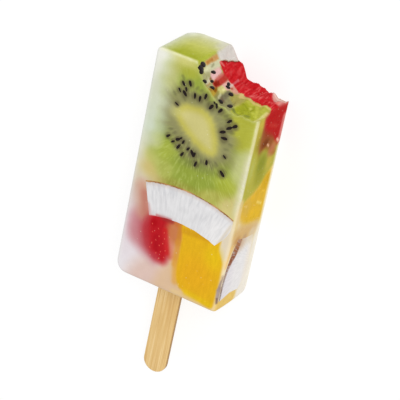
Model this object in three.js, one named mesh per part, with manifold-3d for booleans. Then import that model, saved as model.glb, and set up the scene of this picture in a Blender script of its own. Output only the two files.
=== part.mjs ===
// Fruit ice lolly: a tapered block of milky ice on a flat wooden stick, with slices of kiwi,
// coconut, strawberry and mango frozen in, and one corner of the tip bitten off.
//
// Millimetres. The lolly lies on its back face: +Z is its front, +Y its tip, +X its right side.
// The origin is under the middle of the whole lolly, stick included, where its back face rests.

import * as THREE from 'three';
import { mergeVertices } from 'three/addons/utils/BufferGeometryUtils.js';
import Module from 'manifold-3d';

const wasm = await Module();
wasm.setup();

// ---------------------------------------------------------------- driving dimensions

const BODY_LENGTH = 92;
const BODY_WIDTH = 43.7;
const BODY_LEAN = 0.25;
const BASE_DEPTH = 28;
const TIP_DEPTH = 27;
const FRONT_EDGE_RADIUS = 1.2;
const BACK_EDGE_RADII = { left: 5.5, right: 1.8 };
const BASE_RADII = { left: 4.5, right: 1.2, front: 1, back: 2.7 };
const TIP_RADII = { left: 1.8, right: 1.8, front: 0.9, back: 2.4 };
const BASE_CROWN = { height: 2.8, reach: 6 };

const STICK_WIDTH = 10;
const STICK_THICKNESS = 2;
const STICK_LENGTH = 114;
const STICK_SHOWN = 45;
const STICK_CENTRE_X = -3;
const STICK_CENTRE_Z = 14;

const KIWI_UNDERSIDE = 13.6;
const KIWI_ROUNDING = 3;
const KIWI_LOBE_LEFT = 7;
const BACK_ICE = 1.2;
const SEED = { length: 2.1, width: 1.1, thickness: 0.8, proud: 0.25 };

const COCONUT = { x: 0.6, y: -35.8, inner: 41.6, outer: 55.3, left: -17.6, right: 21.7, thickness: 5 };
const COCONUT_SIDE_DEPTH = 4.5;
const MANGO_UNDERSIDE = 9;

const GAP = 0.3;
const OVERSHOOT = 1.5;

const BASE_Y = STICK_SHOWN - (BODY_LENGTH + STICK_SHOWN) / 2;
const TIP_Y = BASE_Y + BODY_LENGTH;
const RIGHT = BODY_WIDTH / 2 + OVERSHOOT;
const FRONT = BASE_DEPTH + OVERSHOOT;

// ---------------------------------------------------------------- outlines and solids

const X = new THREE.Vector3(1, 0, 0);
const Y = new THREE.Vector3(0, 1, 0);
const Z = new THREE.Vector3(0, 0, 1);

// How an outline is laid before it is extruded: (x, y) upwards, (y, z) across, (z, x) along.
const UPWARDS = new THREE.Matrix4();
const ACROSS = new THREE.Matrix4().makeBasis(Y, Z, X);
const ALONG = new THREE.Matrix4().makeBasis(Z, X, Y);

const lerp = THREE.MathUtils.lerp;
const radians = THREE.MathUtils.degToRad;

// A closed mesh as a solid that can be joined and cut.
function solid(geometry) {
  const bare = geometry.clone();
  bare.deleteAttribute('normal');
  bare.deleteAttribute('uv');
  const merged = mergeVertices(bare);
  return new wasm.Manifold(new wasm.Mesh({
    numProp: 3,
    vertProperties: new Float32Array(merged.attributes.position.array),
    triVerts: new Uint32Array(merged.index.array),
  }));
}

// A closed smooth outline through a few points.
function smooth(points, samples = 36) {
  const knots = points.map(([a, b]) => new THREE.Vector3(a, b, 0));
  const curve = new THREE.CatmullRomCurve3(knots, true);
  return curve.getSpacedPoints(samples).slice(0, -1).map((p) => new THREE.Vector2(p.x, p.y));
}

// A polygon with its corners rounded by quadratic curves that start this far from each corner.
function rounded(points, reach, steps = 4) {
  const corners = points.map(([a, b]) => new THREE.Vector2(a, b));
  return corners.flatMap((corner, i) => {
    const before = corners[(i + corners.length - 1) % corners.length];
    const after = corners[(i + 1) % corners.length];
    const start = corner.clone().add(before.clone().sub(corner).setLength(reach));
    const end = corner.clone().add(after.clone().sub(corner).setLength(reach));
    return new THREE.QuadraticBezierCurve(start, corner, end).getPoints(steps);
  });
}

// The same outline moved outwards by a distance.
function grown(points, distance) {
  const turn = Math.sign(THREE.ShapeUtils.area(points));
  return points.map((point, i) => {
    const before = points[(i + points.length - 1) % points.length];
    const after = points[(i + 1) % points.length];
    const arriving = point.clone().sub(before).normalize();
    const leaving = after.clone().sub(point).normalize();
    const normal = new THREE.Vector2(arriving.y, -arriving.x);
    const bisector = new THREE.Vector2(arriving.y + leaving.y, -arriving.x - leaving.x).normalize();
    const reach = distance / Math.max(bisector.dot(normal), 0.5);
    return point.clone().addScaledVector(bisector, turn * reach);
  });
}

function prismGeometry(outline, from, to, axes, rounding = 0) {
  const geometry = new THREE.ExtrudeGeometry(new THREE.Shape(outline), {
    depth: to - from - 2 * rounding,
    bevelEnabled: rounding > 0,
    bevelThickness: rounding,
    bevelSize: rounding,
    bevelOffset: -rounding,
    bevelSegments: 4,
    curveSegments: 1,
  });
  return geometry.translate(0, 0, from + rounding).applyMatrix4(axes);
}

const prism = (...sizes) => solid(prismGeometry(...sizes));

// ---------------------------------------------------------------- the block of ice

const alongBody = (y) => (y - BASE_Y) / BODY_LENGTH;
// The block leans a little to the left on its way to the tip.
const centreX = (y) => lerp(BODY_LEAN, -BODY_LEAN, alongBody(y));
const frontZ = (y) => lerp(BASE_DEPTH, TIP_DEPTH, alongBody(y));

// How far a rounded end draws its side in, at a distance from the end plane.
function drawnIn(radius, distance) {
  const left = Math.max(radius - distance, 0);
  return radius - Math.sqrt(radius * radius - left * left);
}

function insetAt(y, side) {
  return drawnIn(BASE_RADII[side], y - BASE_Y) + drawnIn(TIP_RADII[side], TIP_Y - y);
}

const SIDE_STEPS = 5;

function cornerArc(x, z, radius, startDegrees, steps) {
  return Array.from({ length: steps + 1 }, (_, i) => {
    const angle = radians(startDegrees - (90 * i) / steps);
    return [x + radius * Math.cos(angle), z + radius * Math.sin(angle)];
  });
}

// How far the frozen base bulges out, more towards the back.
function crownAt(y, z) {
  const near = Math.max(1 - (y - BASE_Y) / BASE_CROWN.reach, 0);
  return BASE_CROWN.height * near ** 2 * (1 - (z / BASE_DEPTH) ** 2);
}

// Points between two others, without its ends.
function between([x0, z0], [x1, z1], steps) {
  return Array.from({ length: steps - 1 }, (_, i) => {
    const share = (i + 1) / steps;
    return [lerp(x0, x1, share), lerp(z0, z1, share)];
  });
}

// One cross-section of the block: crisp front edges and rounder back edges. Its points run from the
// front right corner round to the front left one, and as many lie on each side of the middle.
function crossSection(y) {
  const right = centreX(y) + BODY_WIDTH / 2 - insetAt(y, 'right');
  const left = centreX(y) - BODY_WIDTH / 2 + insetAt(y, 'left');
  const front = frontZ(y) - insetAt(y, 'front');
  const back = insetAt(y, 'back');
  const f = FRONT_EDGE_RADIUS;
  const r = BACK_EDGE_RADII.right;
  const l = BACK_EDGE_RADII.left;
  const side = SIDE_STEPS;
  return [
    ...cornerArc(right - f, front - f, f, 90, 3),
    ...between([right, front - f], [right, back + r], side),
    ...cornerArc(right - r, back + r, r, 0, 6),
    ...cornerArc(left + l, back + l, l, -90, 6),
    ...between([left, back + l], [left, front - f], side),
    ...cornerArc(left + f, front - f, f, 180, 3),
  ].map(([x, z]) => [x, y - crownAt(y, z), z]);
}

function blockGeometry() {
  const endSteps = [0, 0.25, 0.6, 1.2, 2.2, 4];
  const stations = [
    ...endSteps.map((step) => BASE_Y + step),
    ...endSteps.map((step) => TIP_Y - step).reverse(),
  ];
  const rings = stations.map(crossSection);
  const count = rings[0].length;
  const last = (rings.length - 1) * count;
  const faces = [];
  for (let k = 0; k < rings.length - 1; k += 1) {
    for (let i = 0; i < count; i += 1) {
      const a = k * count + i;
      const b = k * count + ((i + 1) % count);
      faces.push(a, b, a + count, b, b + count, a + count);
    }
  }
  for (let i = 0; i < count / 2 - 1; i += 1) {
    const j = count - 1 - i;
    faces.push(i, j - 1, i + 1, i, j, j - 1);
    faces.push(last + i, last + i + 1, last + j - 1, last + i, last + j - 1, last + j);
  }
  const geometry = new THREE.BufferGeometry();
  geometry.setAttribute('position', new THREE.Float32BufferAttribute(rings.flat(2), 3));
  geometry.setIndex(faces);
  return geometry;
}

// ---------------------------------------------------------------- the bite

// The bite's line in the front face, from the tip down and across to the right side.
const BITE_LINE = new THREE.CatmullRomCurve3([
  [-7.4, 70.4], [-4.5, 65.9], [-1.2, 61.6], [2.6, 58.2], [7.9, 55.6], [14, 55.1], [24, 55.7],
].map(([x, y]) => new THREE.Vector3(x, y, 0))).getPoints(60);
const BITE_LEFT = BITE_LINE[0].x;
const BITE_LEAN = 1.1;

function biteLineY(x) {
  const next = BITE_LINE.findIndex((p) => p.x >= x);
  const before = BITE_LINE[Math.max(next - 1, 0)];
  const after = BITE_LINE[next];
  const share = after.x > before.x ? (x - before.x) / (after.x - before.x) : 0;
  return lerp(before.y, after.y, share);
}

// The torn surface: it rises a little towards the back, and teeth and fruit leave low ridges.
function biteY(x, z) {
  const steep = THREE.MathUtils.smoothstep(12 - x, 0, 10);
  const lean = BITE_LEAN * (1 - z / BASE_DEPTH);
  const teeth = 0.55 * Math.sin(z / 3.6 - 1.9) * (1 - 0.6 * steep);
  const ridges = 0.3 * Math.sin(x / 1.1 + z / 4.3) + 0.16 * Math.sin(x / 0.55 - z / 2.1);
  return biteLineY(x) + lean + teeth + ridges;
}

function biteGeometry() {
  const width = RIGHT - BITE_LEFT;
  const height = 20;
  const depth = FRONT + OVERSHOOT;
  const box = new THREE.BoxGeometry(width, height, depth, 30, 1, 15);
  box.translate(BITE_LEFT + width / 2, TIP_Y + OVERSHOOT, depth / 2 - OVERSHOOT);
  const position = box.attributes.position;
  for (let i = 0; i < position.count; i += 1) {
    if (position.getY(i) < TIP_Y) {
      position.setY(i, biteY(position.getX(i), position.getZ(i)));
    }
  }
  return box;
}

const block = solid(blockGeometry()).subtract(solid(biteGeometry()));

// ---------------------------------------------------------------- the stick

function stick(grow) {
  const radius = STICK_WIDTH / 2 + grow;
  const end = (STICK_LENGTH - STICK_WIDTH) / 2;
  const outline = new THREE.Path()
    .absarc(0, end, radius, 0, Math.PI, false)
    .absarc(0, -end, radius, Math.PI, 2 * Math.PI, false)
    .getPoints(14);
  const half = STICK_THICKNESS / 2 + grow;
  const middle = BASE_Y - STICK_SHOWN + STICK_LENGTH / 2;
  const geometry = prismGeometry(outline, -half, half, UPWARDS);
  return solid(geometry.translate(STICK_CENTRE_X, middle, STICK_CENTRE_Z));
}

// ---------------------------------------------------------------- the fruit
// Each function makes a piece, or the pocket that it leaves when it is asked to grow.

// A slice of coconut flat against the front: a sector of a ring, its rind on the outer arc.
function coconutFront(grow) {
  const { x, y, inner, outer, left, right, thickness } = COCONUT;
  const arc = (radius, from, to) => Array.from({ length: 13 }, (_, i) => {
    const angle = radians(lerp(from, to, i / 12));
    return new THREE.Vector2(x + radius * Math.sin(angle), y + radius * Math.cos(angle));
  });
  const cutEnd = [[20.9, 11], [19.2, 7.2]].map(([a, b]) => new THREE.Vector2(a, b));
  const outline = [...arc(outer, left, right), ...cutEnd, ...arc(inner, right, left)];
  return prism(grown(outline, grow), BASE_DEPTH - thickness - grow, FRONT, UPWARDS);
}

// A coconut wedge on edge against the right side, its rind along the slanting front.
function coconutSide(grow) {
  const rind = new THREE.EllipseCurve(-13, -2.7, 29.6, 29.6, radians(102.7), radians(52), true);
  const flesh = [[3.2, 14], [2, 6.6], [-12, 5.3], [-17.5, 6.2], [-20.6, 10.2], [-19.1, 17.5], [-19.4, 25]];
  const outline = [...rind.getPoints(12), ...flesh.map(([a, b]) => new THREE.Vector2(a, b))];
  const inner = BODY_WIDTH / 2 - COCONUT_SIDE_DEPTH - grow;
  return prism(grown(outline, grow), inner, RIGHT, ACROSS);
}

// A mango chunk under the front slice of coconut, with a foot that shows below the wedge.
function mangoFront(grow) {
  const face = rounded([[1.4, 8], [4.6, -20.2], [19.9, -23.1], [19.7, -1], [15.8, 5.6]], 2.6);
  const foot = rounded([[-24.4, 11], [-14, 11], [-14, 26.8], [-22.8, 26.8]], 1.2);
  const chunk = prism(grown(face, grow), MANGO_UNDERSIDE - grow, FRONT, UPWARDS);
  return chunk.add(prism(grown(foot, grow), 14, RIGHT, ACROSS));
}

// A mango slab against the right side and the back, from the kiwi down to the coconut wedge.
function mangoSide(grow) {
  const side = rounded([[29.6, -OVERSHOOT], [24, 13], [22, 23.4], [12, 23.4], [7.4, -OVERSHOOT]], 3.2);
  const back = smooth([[26, 3], [26, 30], [15, 28.5], [10.6, 21], [10.4, 12], [14.5, 6.4]]);
  const slab = prism(grown(back, grow), -OVERSHOOT, 23.4 + grow, UPWARDS);
  return slab.intersect(prism(grown(side, grow), 0, RIGHT, ACROSS));
}

// A whole small strawberry pointing down to the right, cut flat by the front face.
function strawberryFront(grow) {
  const crown = new THREE.Vector3(-12.6, 9, 22.6);
  const tip = new THREE.Vector3(-2.4, -15.4, 25);
  const radius = 6.6;
  const widest = 0.34;
  const length = crown.distanceTo(tip) + 2 * grow;
  const steps = 14;
  const profile = Array.from({ length: steps + 1 }, (_, i) => {
    const share = (1 - Math.cos((Math.PI * i) / steps)) / 2;
    const fromWidest = (share - widest) / (share < widest ? widest : 1 - widest);
    const width = (radius + grow) * Math.sqrt(Math.max(1 - fromWidest ** 2, 0));
    return new THREE.Vector2(width, share * length - grow);
  });
  profile[0].x = 0;
  profile[steps].x = 0;
  const direction = tip.clone().sub(crown).normalize();
  const turn = new THREE.Quaternion().setFromUnitVectors(Y, direction);
  const geometry = new THREE.LatheGeometry(profile, 24).applyQuaternion(turn);
  return solid(geometry.translate(crown.x, crown.y, crown.z));
}

// A thick strawberry slice behind the kiwi, open to the bite and to the right side.
function strawberryBack(grow) {
  const face = smooth([
    [-4.6, 61.5], [-4.2, 54], [-0.5, 45.5], [5.5, 38.5], [13, 35.2], [24, 36], [26, 50], [25, 65],
    [10, 67], [-2, 65.4],
  ]);
  const slice = prismGeometry(grown(face, grow), -OVERSHOOT, FRONT, UPWARDS);
  const position = slice.attributes.position;
  for (let i = 0; i < position.count; i += 1) {
    const lean = THREE.MathUtils.mapLinear(position.getY(i), 35, 65, 0.45, 0.2);
    position.setY(i, position.getY(i) + lean * (position.getZ(i) - 4));
  }
  const layer = [
    [-3, -1.2], [3, -3.2], [13.2, -3.6], [12.6, 8], [14.2, 19], [19.6, 22.4], [19.6, 24],
    [3.2, 24], [-3, 11],
  ];
  const outline = layer.map(([z, x]) => new THREE.Vector2(z, x));
  return solid(slice).intersect(prism(grown(outline, grow), 25, TIP_Y + OVERSHOOT, ALONG));
}

// A sliver of mango high in the bite's steep wall.
function mangoSliver(grow) {
  const geometry = new THREE.IcosahedronGeometry(1, 2);
  geometry.scale(1.1 + grow, 1.4 + grow, 5.4 + grow).rotateX(radians(-6));
  return solid(geometry.translate(-5.4, 67.2, 16.4));
}

// A thick kiwi slice across the front, with a lobe that fills the right side behind it.
function kiwi(grow) {
  const face = smooth([
    [-15.5, 21.5], [-8, 15], [4, 13], [14, 14.5], [19.5, 19], [25, 25.5], [27, 44], [27, 62],
    [24, 76], [4, 80], [-14, 76], [-18.6, 60], [-18.9, 44], [-18, 30],
  ], 48);
  const front = BASE_DEPTH + grow;
  const slice = prism(grown(face, grow), KIWI_UNDERSIDE - grow, front, UPWARDS, KIWI_ROUNDING);
  const side = rounded([[20, BACK_ICE], [44, BACK_ICE], [44, 17], [20, 17]], 1.5);
  return slice.add(prism(grown(side, grow), KIWI_LOBE_LEFT - grow, RIGHT, ACROSS));
}

// ---------------------------------------------------------------- kiwi seeds

// Seeds that show on the front: the place of each, the way it points in degrees, and its size.
const FRONT_SEEDS = [
  [-9.2, 58.8, -48, 0.95], [-6.8, 59.7, -60, 1.15], [-10.2, 55.9, -50, 0.85], [-8.4, 56.3, -50, 0.9],
  [-7.7, 55.1, -48, 1.0], [-7.9, 57.5, 85, 0.75], [-10.2, 50.4, -15, 0.85], [-3.9, 56.1, 88, 1.0],
  [-1.9, 55.7, 88, 1.05], [0.2, 57.1, 80, 1.2], [1.8, 55.3, 72, 0.95], [3.1, 54.1, 68, 1.15],
  [4.0, 56.0, 60, 0.85], [5.2, 55.0, -62, 1.0], [6.1, 53.6, 65, 0.95], [7.1, 54.7, 30, 0.75],
  [11.2, 51.6, 42, 1.0], [13.5, 50.4, 40, 1.15], [11.5, 49.1, 35, 1.1], [9.3, 46.7, 17, 1.2],
  [10.5, 44.6, 0, 1.2], [13.2, 42.9, -15, 0.75], [12.2, 37.9, -30, 0.75], [12.7, 31.2, -38, 1.3],
  [5.8, 33.1, 85, 1.05], [1.8, 30.9, 78, 1.05], [-11.0, 37.3, 40, 0.85], [-7.1, 37.4, 45, 1.0],
  [-6.0, 38.2, 40, 0.8], [-4.5, 37.2, 70, 0.95], [-8.7, 36.0, 35, 0.8], [-6.2, 34.7, 57, 1.15],
  [-2.2, 35.4, 60, 0.85], [-0.6, 34.5, -50, 1.1], [0.5, 34.2, 75, 1.0], [-4.2, 32.4, 58, 1.0],
];

// Seeds that show in the bite: the place of each across the wall, its height and its size.
const BITE_SEEDS = [
  [-5.0, 23.4, 1.3], [-4.5, 25.4, 1.2], [-3.9, 26.0, 1.1], [-2.3, 19.0, 1.1], [-1.9, 26.0, 1.0],
  [-0.9, 22.0, 0.8], [0.6, 24.1, 1.0], [2.3, 14.4, 1.0], [3.0, 15.8, 1.0], [5.6, 17.8, 1.1],
  [5.1, 24.6, 1.1], [8.4, 23.4, 1.2],
];
const BITE_SEED_SPIN = 1.15;

function seedGeometry(size) {
  const geometry = new THREE.IcosahedronGeometry(0.5, 0);
  return geometry.scale(SEED.length * size, SEED.width * size, SEED.thickness);
}

function frontSeeds() {
  return FRONT_SEEDS.map(([x, y, turn, size]) => {
    const geometry = seedGeometry(size).rotateZ(radians(turn));
    return solid(geometry.translate(x, y, frontZ(y) + SEED.proud - SEED.thickness / 2));
  });
}

function biteSeeds() {
  return BITE_SEEDS.map(([x, z, size], i) => {
    const fall = Math.atan2(biteY(x + 0.5, z) - biteY(x - 0.5, z), 1);
    const inwards = SEED.thickness / 2 - SEED.proud;
    const spin = BITE_SEED_SPIN + 0.3 * Math.sin(2.4 * i);
    const geometry = seedGeometry(size).rotateX(Math.PI / 2).rotateY(spin).rotateZ(fall);
    return solid(geometry.translate(x, biteY(x, z) - inwards, z));
  });
}

// ---------------------------------------------------------------- assembly

// The largest connected piece: trimming can leave loose scraps, which are dropped.
function largest(piece) {
  const parts = piece.decompose();
  return parts.reduce((best, part) => (part.volume() > best.volume() ? part : best));
}

// In this order: each piece gives way to the ones before it.
const FRUIT = [
  { name: 'coconut_front', shape: coconutFront, color: 0xe3e1e2 },
  { name: 'coconut_side', shape: coconutSide, color: 0xe8e2dc },
  { name: 'strawberry_front', shape: strawberryFront, color: 0xb92430 },
  { name: 'mango_front', shape: mangoFront, color: 0xe5ad24 },
  { name: 'mango_side', shape: mangoSide, color: 0xdeae34 },
  { name: 'strawberry_back', shape: strawberryBack, color: 0xb7232a },
  { name: 'mango_sliver', shape: mangoSliver, color: 0xd69a55 },
  { name: 'kiwi', shape: kiwi, color: 0x9fae48 },
];

function mesh(name, piece, color, roughness) {
  const { vertProperties, triVerts } = piece.getMesh();
  const geometry = new THREE.BufferGeometry();
  geometry.setAttribute('position', new THREE.Float32BufferAttribute(vertProperties, 3));
  geometry.setIndex(new THREE.Uint32BufferAttribute(triVerts, 1));
  geometry.computeVertexNormals();
  const material = new THREE.MeshStandardMaterial({ color, roughness, metalness: 0, flatShading: true });
  const result = new THREE.Mesh(geometry, material);
  result.name = name;
  return result;
}

const group = new THREE.Group();
let taken = stick(GAP);
for (const { name, shape, color } of FRUIT) {
  let piece = largest(shape(0).intersect(block).subtract(taken));
  if (name === 'kiwi') {
    piece = [...frontSeeds(), ...biteSeeds()].reduce((sum, one) => sum.add(one), piece);
  }
  taken = taken.add(shape(GAP));
  group.add(mesh(name, piece, color, 0.35));
}
group.add(mesh('ice_body', largest(block.subtract(taken)), 0xe6e0da, 0.2));
group.add(mesh('stick', stick(0), 0xdcbb82, 0.6));

export default group;
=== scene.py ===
"""Looks of a bitten fruit ice lolly: milky ice with kiwi, coconut, strawberry and mango, on a stick.

Shapes are worked out in millimetres in the row frame (+Z front, +Y tip, +X right side) and scaled to
metres when they are done. The ice and the fruit are cut from one dense block, so they meet flush.
"""

import math

import bpy
import numpy as np
from mathutils import Matrix, Quaternion, Vector, noise
from mathutils.bvhtree import BVHTree


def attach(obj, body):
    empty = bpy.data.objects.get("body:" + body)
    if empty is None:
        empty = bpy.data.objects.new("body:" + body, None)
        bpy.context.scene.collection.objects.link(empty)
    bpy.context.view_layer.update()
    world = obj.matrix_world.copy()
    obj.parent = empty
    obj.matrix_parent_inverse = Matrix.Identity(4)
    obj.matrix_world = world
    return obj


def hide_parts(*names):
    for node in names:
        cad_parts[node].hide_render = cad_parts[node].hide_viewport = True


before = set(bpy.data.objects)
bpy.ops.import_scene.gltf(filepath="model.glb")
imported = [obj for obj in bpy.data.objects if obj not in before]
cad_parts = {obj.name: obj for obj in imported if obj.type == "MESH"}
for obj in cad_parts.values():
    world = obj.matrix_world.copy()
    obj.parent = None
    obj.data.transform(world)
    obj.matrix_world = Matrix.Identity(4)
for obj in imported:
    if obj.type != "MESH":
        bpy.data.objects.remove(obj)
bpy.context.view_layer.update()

METRES = 0.001

# ---------------------------------------------------------------- camera

CAMERA_PLACE = (200.85, 277.86, 497.6)
CAMERA_AIM = (0.997, 10.559, 14.0)
CAMERA_ROLL = -125.536
CAMERA_LENS = 141.8


def make_camera():
    data = bpy.data.cameras.new("camera")
    data.lens = CAMERA_LENS
    data.sensor_width = 36
    data.clip_start = 0.01
    camera = bpy.data.objects.new("camera", data)
    place = Vector(CAMERA_PLACE) * METRES
    look = Vector(CAMERA_AIM) * METRES - place
    roll = Quaternion((0, 0, 1), math.radians(CAMERA_ROLL))
    camera.rotation_mode = "QUATERNION"
    camera.rotation_quaternion = look.to_track_quat("-Z", "Y") @ roll
    camera.location = place
    bpy.context.scene.collection.objects.link(camera)
    bpy.context.scene.camera = camera


make_camera()

# ---------------------------------------------------------------- sizes, in mm

BODY_LENGTH, BODY_WIDTH, BODY_LEAN = 92, 43.7, 0.25
BASE_Y = -23.5
TIP_Y = BASE_Y + BODY_LENGTH
BASE_DEPTH, TIP_DEPTH = 28, 27
FRONT_EDGE_RADIUS = 1.2
BACK_EDGE_RADII = {"left": 5.5, "right": 1.8}
BASE_RADII = {"left": 4.5, "right": 1.2, "front": 1.0, "back": 2.7}
BASE_CROWN_HEIGHT, BASE_CROWN_REACH = 2.8, 6
TIP_RADII = {"left": 1.8, "right": 1.8, "front": 0.9, "back": 2.4}

STICK_WIDTH, STICK_THICKNESS, STICK_LENGTH, STICK_SHOWN = 10, 2, 114, 45
STICK_CENTRE_X, STICK_CENTRE_Z = -3, 14
STICK_EDGE = 0.3
STICK_GAP = 0.02

COCONUT_CENTRE = (0.6, -35.8)
COCONUT_INNER, COCONUT_OUTER = 41.6, 55.3
COCONUT_THICKNESS = 5
RIND_FROM = COCONUT_OUTER - 0.75
WEDGE_CENTRE = (-13, -2.7)
WEDGE_RADIUS = 29.6
KIWI_UNDERSIDE = 13.6
KIWI_ROUNDING = 3.0
KIWI_CORE = (0.2, 44.5)
KIWI_TILT = math.radians(-29)
OVERSHOOT = 1.5
RIGHT = BODY_WIDTH / 2 + OVERSHOOT
FRONT = BASE_DEPTH + OVERSHOOT

# ---------------------------------------------------------------- mesh helpers


def mesh_object(name, points, faces):
    mesh = bpy.data.meshes.new(name)
    mesh.from_pydata([tuple(p) for p in points], [], [tuple(f) for f in faces])
    mesh.validate()
    made = bpy.data.objects.new(name, mesh)
    bpy.context.scene.collection.objects.link(made)
    return made


def positions(mesh):
    points = np.empty(len(mesh.vertices) * 3, np.float32)
    mesh.vertices.foreach_get("co", points)
    return points.reshape(-1, 3).astype(float)


def noisy(*coordinates):
    """Noise at many places, whose three coordinates are arrays or numbers."""
    places = np.stack(np.broadcast_arrays(*coordinates), axis=1)
    return np.array([noise.noise(Vector(place)) for place in places])


def combine(name, first, second, operation):
    """A new object: first joined with, cut by or trimmed to second."""
    modifier = first.modifiers.new("combine", "BOOLEAN")
    modifier.solver = "MANIFOLD"
    modifier.operation = operation
    modifier.object = second
    graph = bpy.context.evaluated_depsgraph_get()
    mesh = bpy.data.meshes.new_from_object(first.evaluated_get(graph))
    mesh.name = name
    first.modifiers.remove(modifier)
    made = bpy.data.objects.new(name, mesh)
    bpy.context.scene.collection.objects.link(made)
    return made


def discard(*objects):
    for one in objects:
        bpy.data.objects.remove(one)


def used_up(name, first, second, operation):
    """As combine, and the two objects are gone afterwards."""
    made = combine(name, first, second, operation)
    discard(first, second)
    return made


def span(a, b, c, d, steps):
    """A stretch of a Catmull-Rom curve, from b to just before c."""
    t = np.linspace(0, 1, steps, endpoint=False)[:, None]
    return 0.5 * (2 * b + (c - a) * t + (2 * a - 5 * b + 4 * c - d) * t**2 + (3 * b - a - 3 * c + d) * t**3)


def smooth(points, per_span=8):
    """A closed curve through a few points, as an array of points."""
    knots = np.array(points, float)
    return np.concatenate([span(*np.roll(knots, 1 - i, axis=0)[:4], per_span) for i in range(len(knots))])


def rounded(points, reach, steps=8):
    """A polygon whose corners are quadratic curves that start this far from each corner."""
    corners = [np.array(p, float) for p in points]
    t = np.linspace(0, 1, steps + 1)[:, None]
    rows = []
    for i, corner in enumerate(corners):
        before = corners[i - 1] - corner
        after = corners[(i + 1) % len(corners)] - corner
        start = corner + reach * before / np.linalg.norm(before)
        end = corner + reach * after / np.linalg.norm(after)
        rows.append((1 - t) ** 2 * start + 2 * t * (1 - t) * corner + t**2 * end)
    return np.concatenate(rows)


def winding(outline):
    """1 if the outline runs anticlockwise, -1 if it runs clockwise."""
    after = np.roll(outline, -1, axis=0)
    return np.sign(np.sum(outline[:, 0] * after[:, 1] - after[:, 0] * outline[:, 1]))


def grown(outline, distance):
    """The outline moved outwards by a distance."""
    leaving = np.roll(outline, -1, axis=0) - outline
    leaving /= np.linalg.norm(leaving, axis=1)[:, None] + 1e-9
    bisector = leaving + np.roll(leaving, 1, axis=0)
    normal = np.stack([bisector[:, 1], -bisector[:, 0]], axis=1)
    normal /= np.linalg.norm(normal, axis=1)[:, None] + 1e-9
    return outline + winding(outline) * distance * normal


def skin(rings, count, first=0):
    """Faces between rings of points that follow one another."""
    faces = []
    for start in range(first, first + (rings - 1) * count, count):
        for i in range(count):
            a, b = start + i, start + (i + 1) % count
            faces.append((a, b, b + count, a + count))
    return faces


def stacked(name, layers, axes="xyz"):
    """A solid skinned over closed outlines (a, b) at heights c, laid along the axes given."""
    if winding(layers[0][0]) < 0:
        layers = [(outline[::-1], height) for outline, height in layers]
    count = len(layers[0][0])
    last = (len(layers) - 1) * count
    points = np.concatenate([np.column_stack([o, np.full(count, h)]) for o, h in layers])
    ends = [tuple(range(count))[::-1], tuple(range(last, last + count))]
    order = {"xyz": [0, 1, 2], "yzx": [2, 0, 1], "zxy": [1, 2, 0]}[axes]
    return mesh_object(name, points[:, order], skin(len(layers), count) + ends)


def prism(name, outline, low, high, axes="xyz"):
    return stacked(name, [(outline, low), (outline, high)], axes)


def slab(name, outline, low, high, rounding, steps):
    """A prism whose edges are rounded inside the outline."""
    layers = []
    for angle in np.linspace(-math.pi / 2, 0, steps):
        shape = grown(outline, rounding * (math.cos(angle) - 1))
        layers.append((shape, low + rounding * (1 + math.sin(angle))))
    layers += [(shape, low + high - height) for shape, height in layers[::-1]]
    return stacked(name, layers)


def turned(steps, sides, radius):
    """Points and faces of a shape turned round Z, of height 1, with its radius given for each height."""
    angles = 2 * np.pi * np.arange(sides) / sides
    rings = []
    for height in (1 - np.cos(np.pi * np.arange(1, steps) / steps)) / 2:
        around = radius(height) * np.column_stack([np.cos(angles), np.sin(angles)])
        rings.append(np.column_stack([around, np.full(sides, height)]))
    points = np.concatenate([[(0, 0, 0)], *rings, [(0, 0, 1)]])
    faces = skin(steps - 1, sides, 1)
    last = len(points) - 1
    for i in range(sides):
        j = (i + 1) % sides
        faces += [(0, 1 + j, 1 + i), (last - sides + i, last - sides + j, last)]
    return points, faces


def moved(points, matrix):
    return (np.column_stack([points, np.ones(len(points))]) @ np.array(matrix).T)[:, :3]


# ---------------------------------------------------------------- the block


def along(y):
    return (y - BASE_Y) / BODY_LENGTH


def side_x(y, side):
    """Where the left (-1) or right (1) side is: the block leans a little to the left towards its tip."""
    return BODY_LEAN * (1 - 2 * along(y)) + side * BODY_WIDTH / 2


def front_z(y):
    return BASE_DEPTH + (TIP_DEPTH - BASE_DEPTH) * along(y)


def drawn_in(radius, distance):
    left = max(radius - distance, 0)
    return radius - math.sqrt(radius**2 - left**2)


def inset_at(y, side):
    return drawn_in(BASE_RADII[side], y - BASE_Y) + drawn_in(TIP_RADII[side], TIP_Y - y)


def crown_at(y, z):
    """How far the frozen base bulges out, more towards the back."""
    near = np.maximum(1 - (y - BASE_Y) / BASE_CROWN_REACH, 0)
    return BASE_CROWN_HEIGHT * near**2 * (1 - (z / BASE_DEPTH) ** 2)


CORNER_STEPS = 8
WIDE_STEPS = 84
DEEP_STEPS = 50


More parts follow.
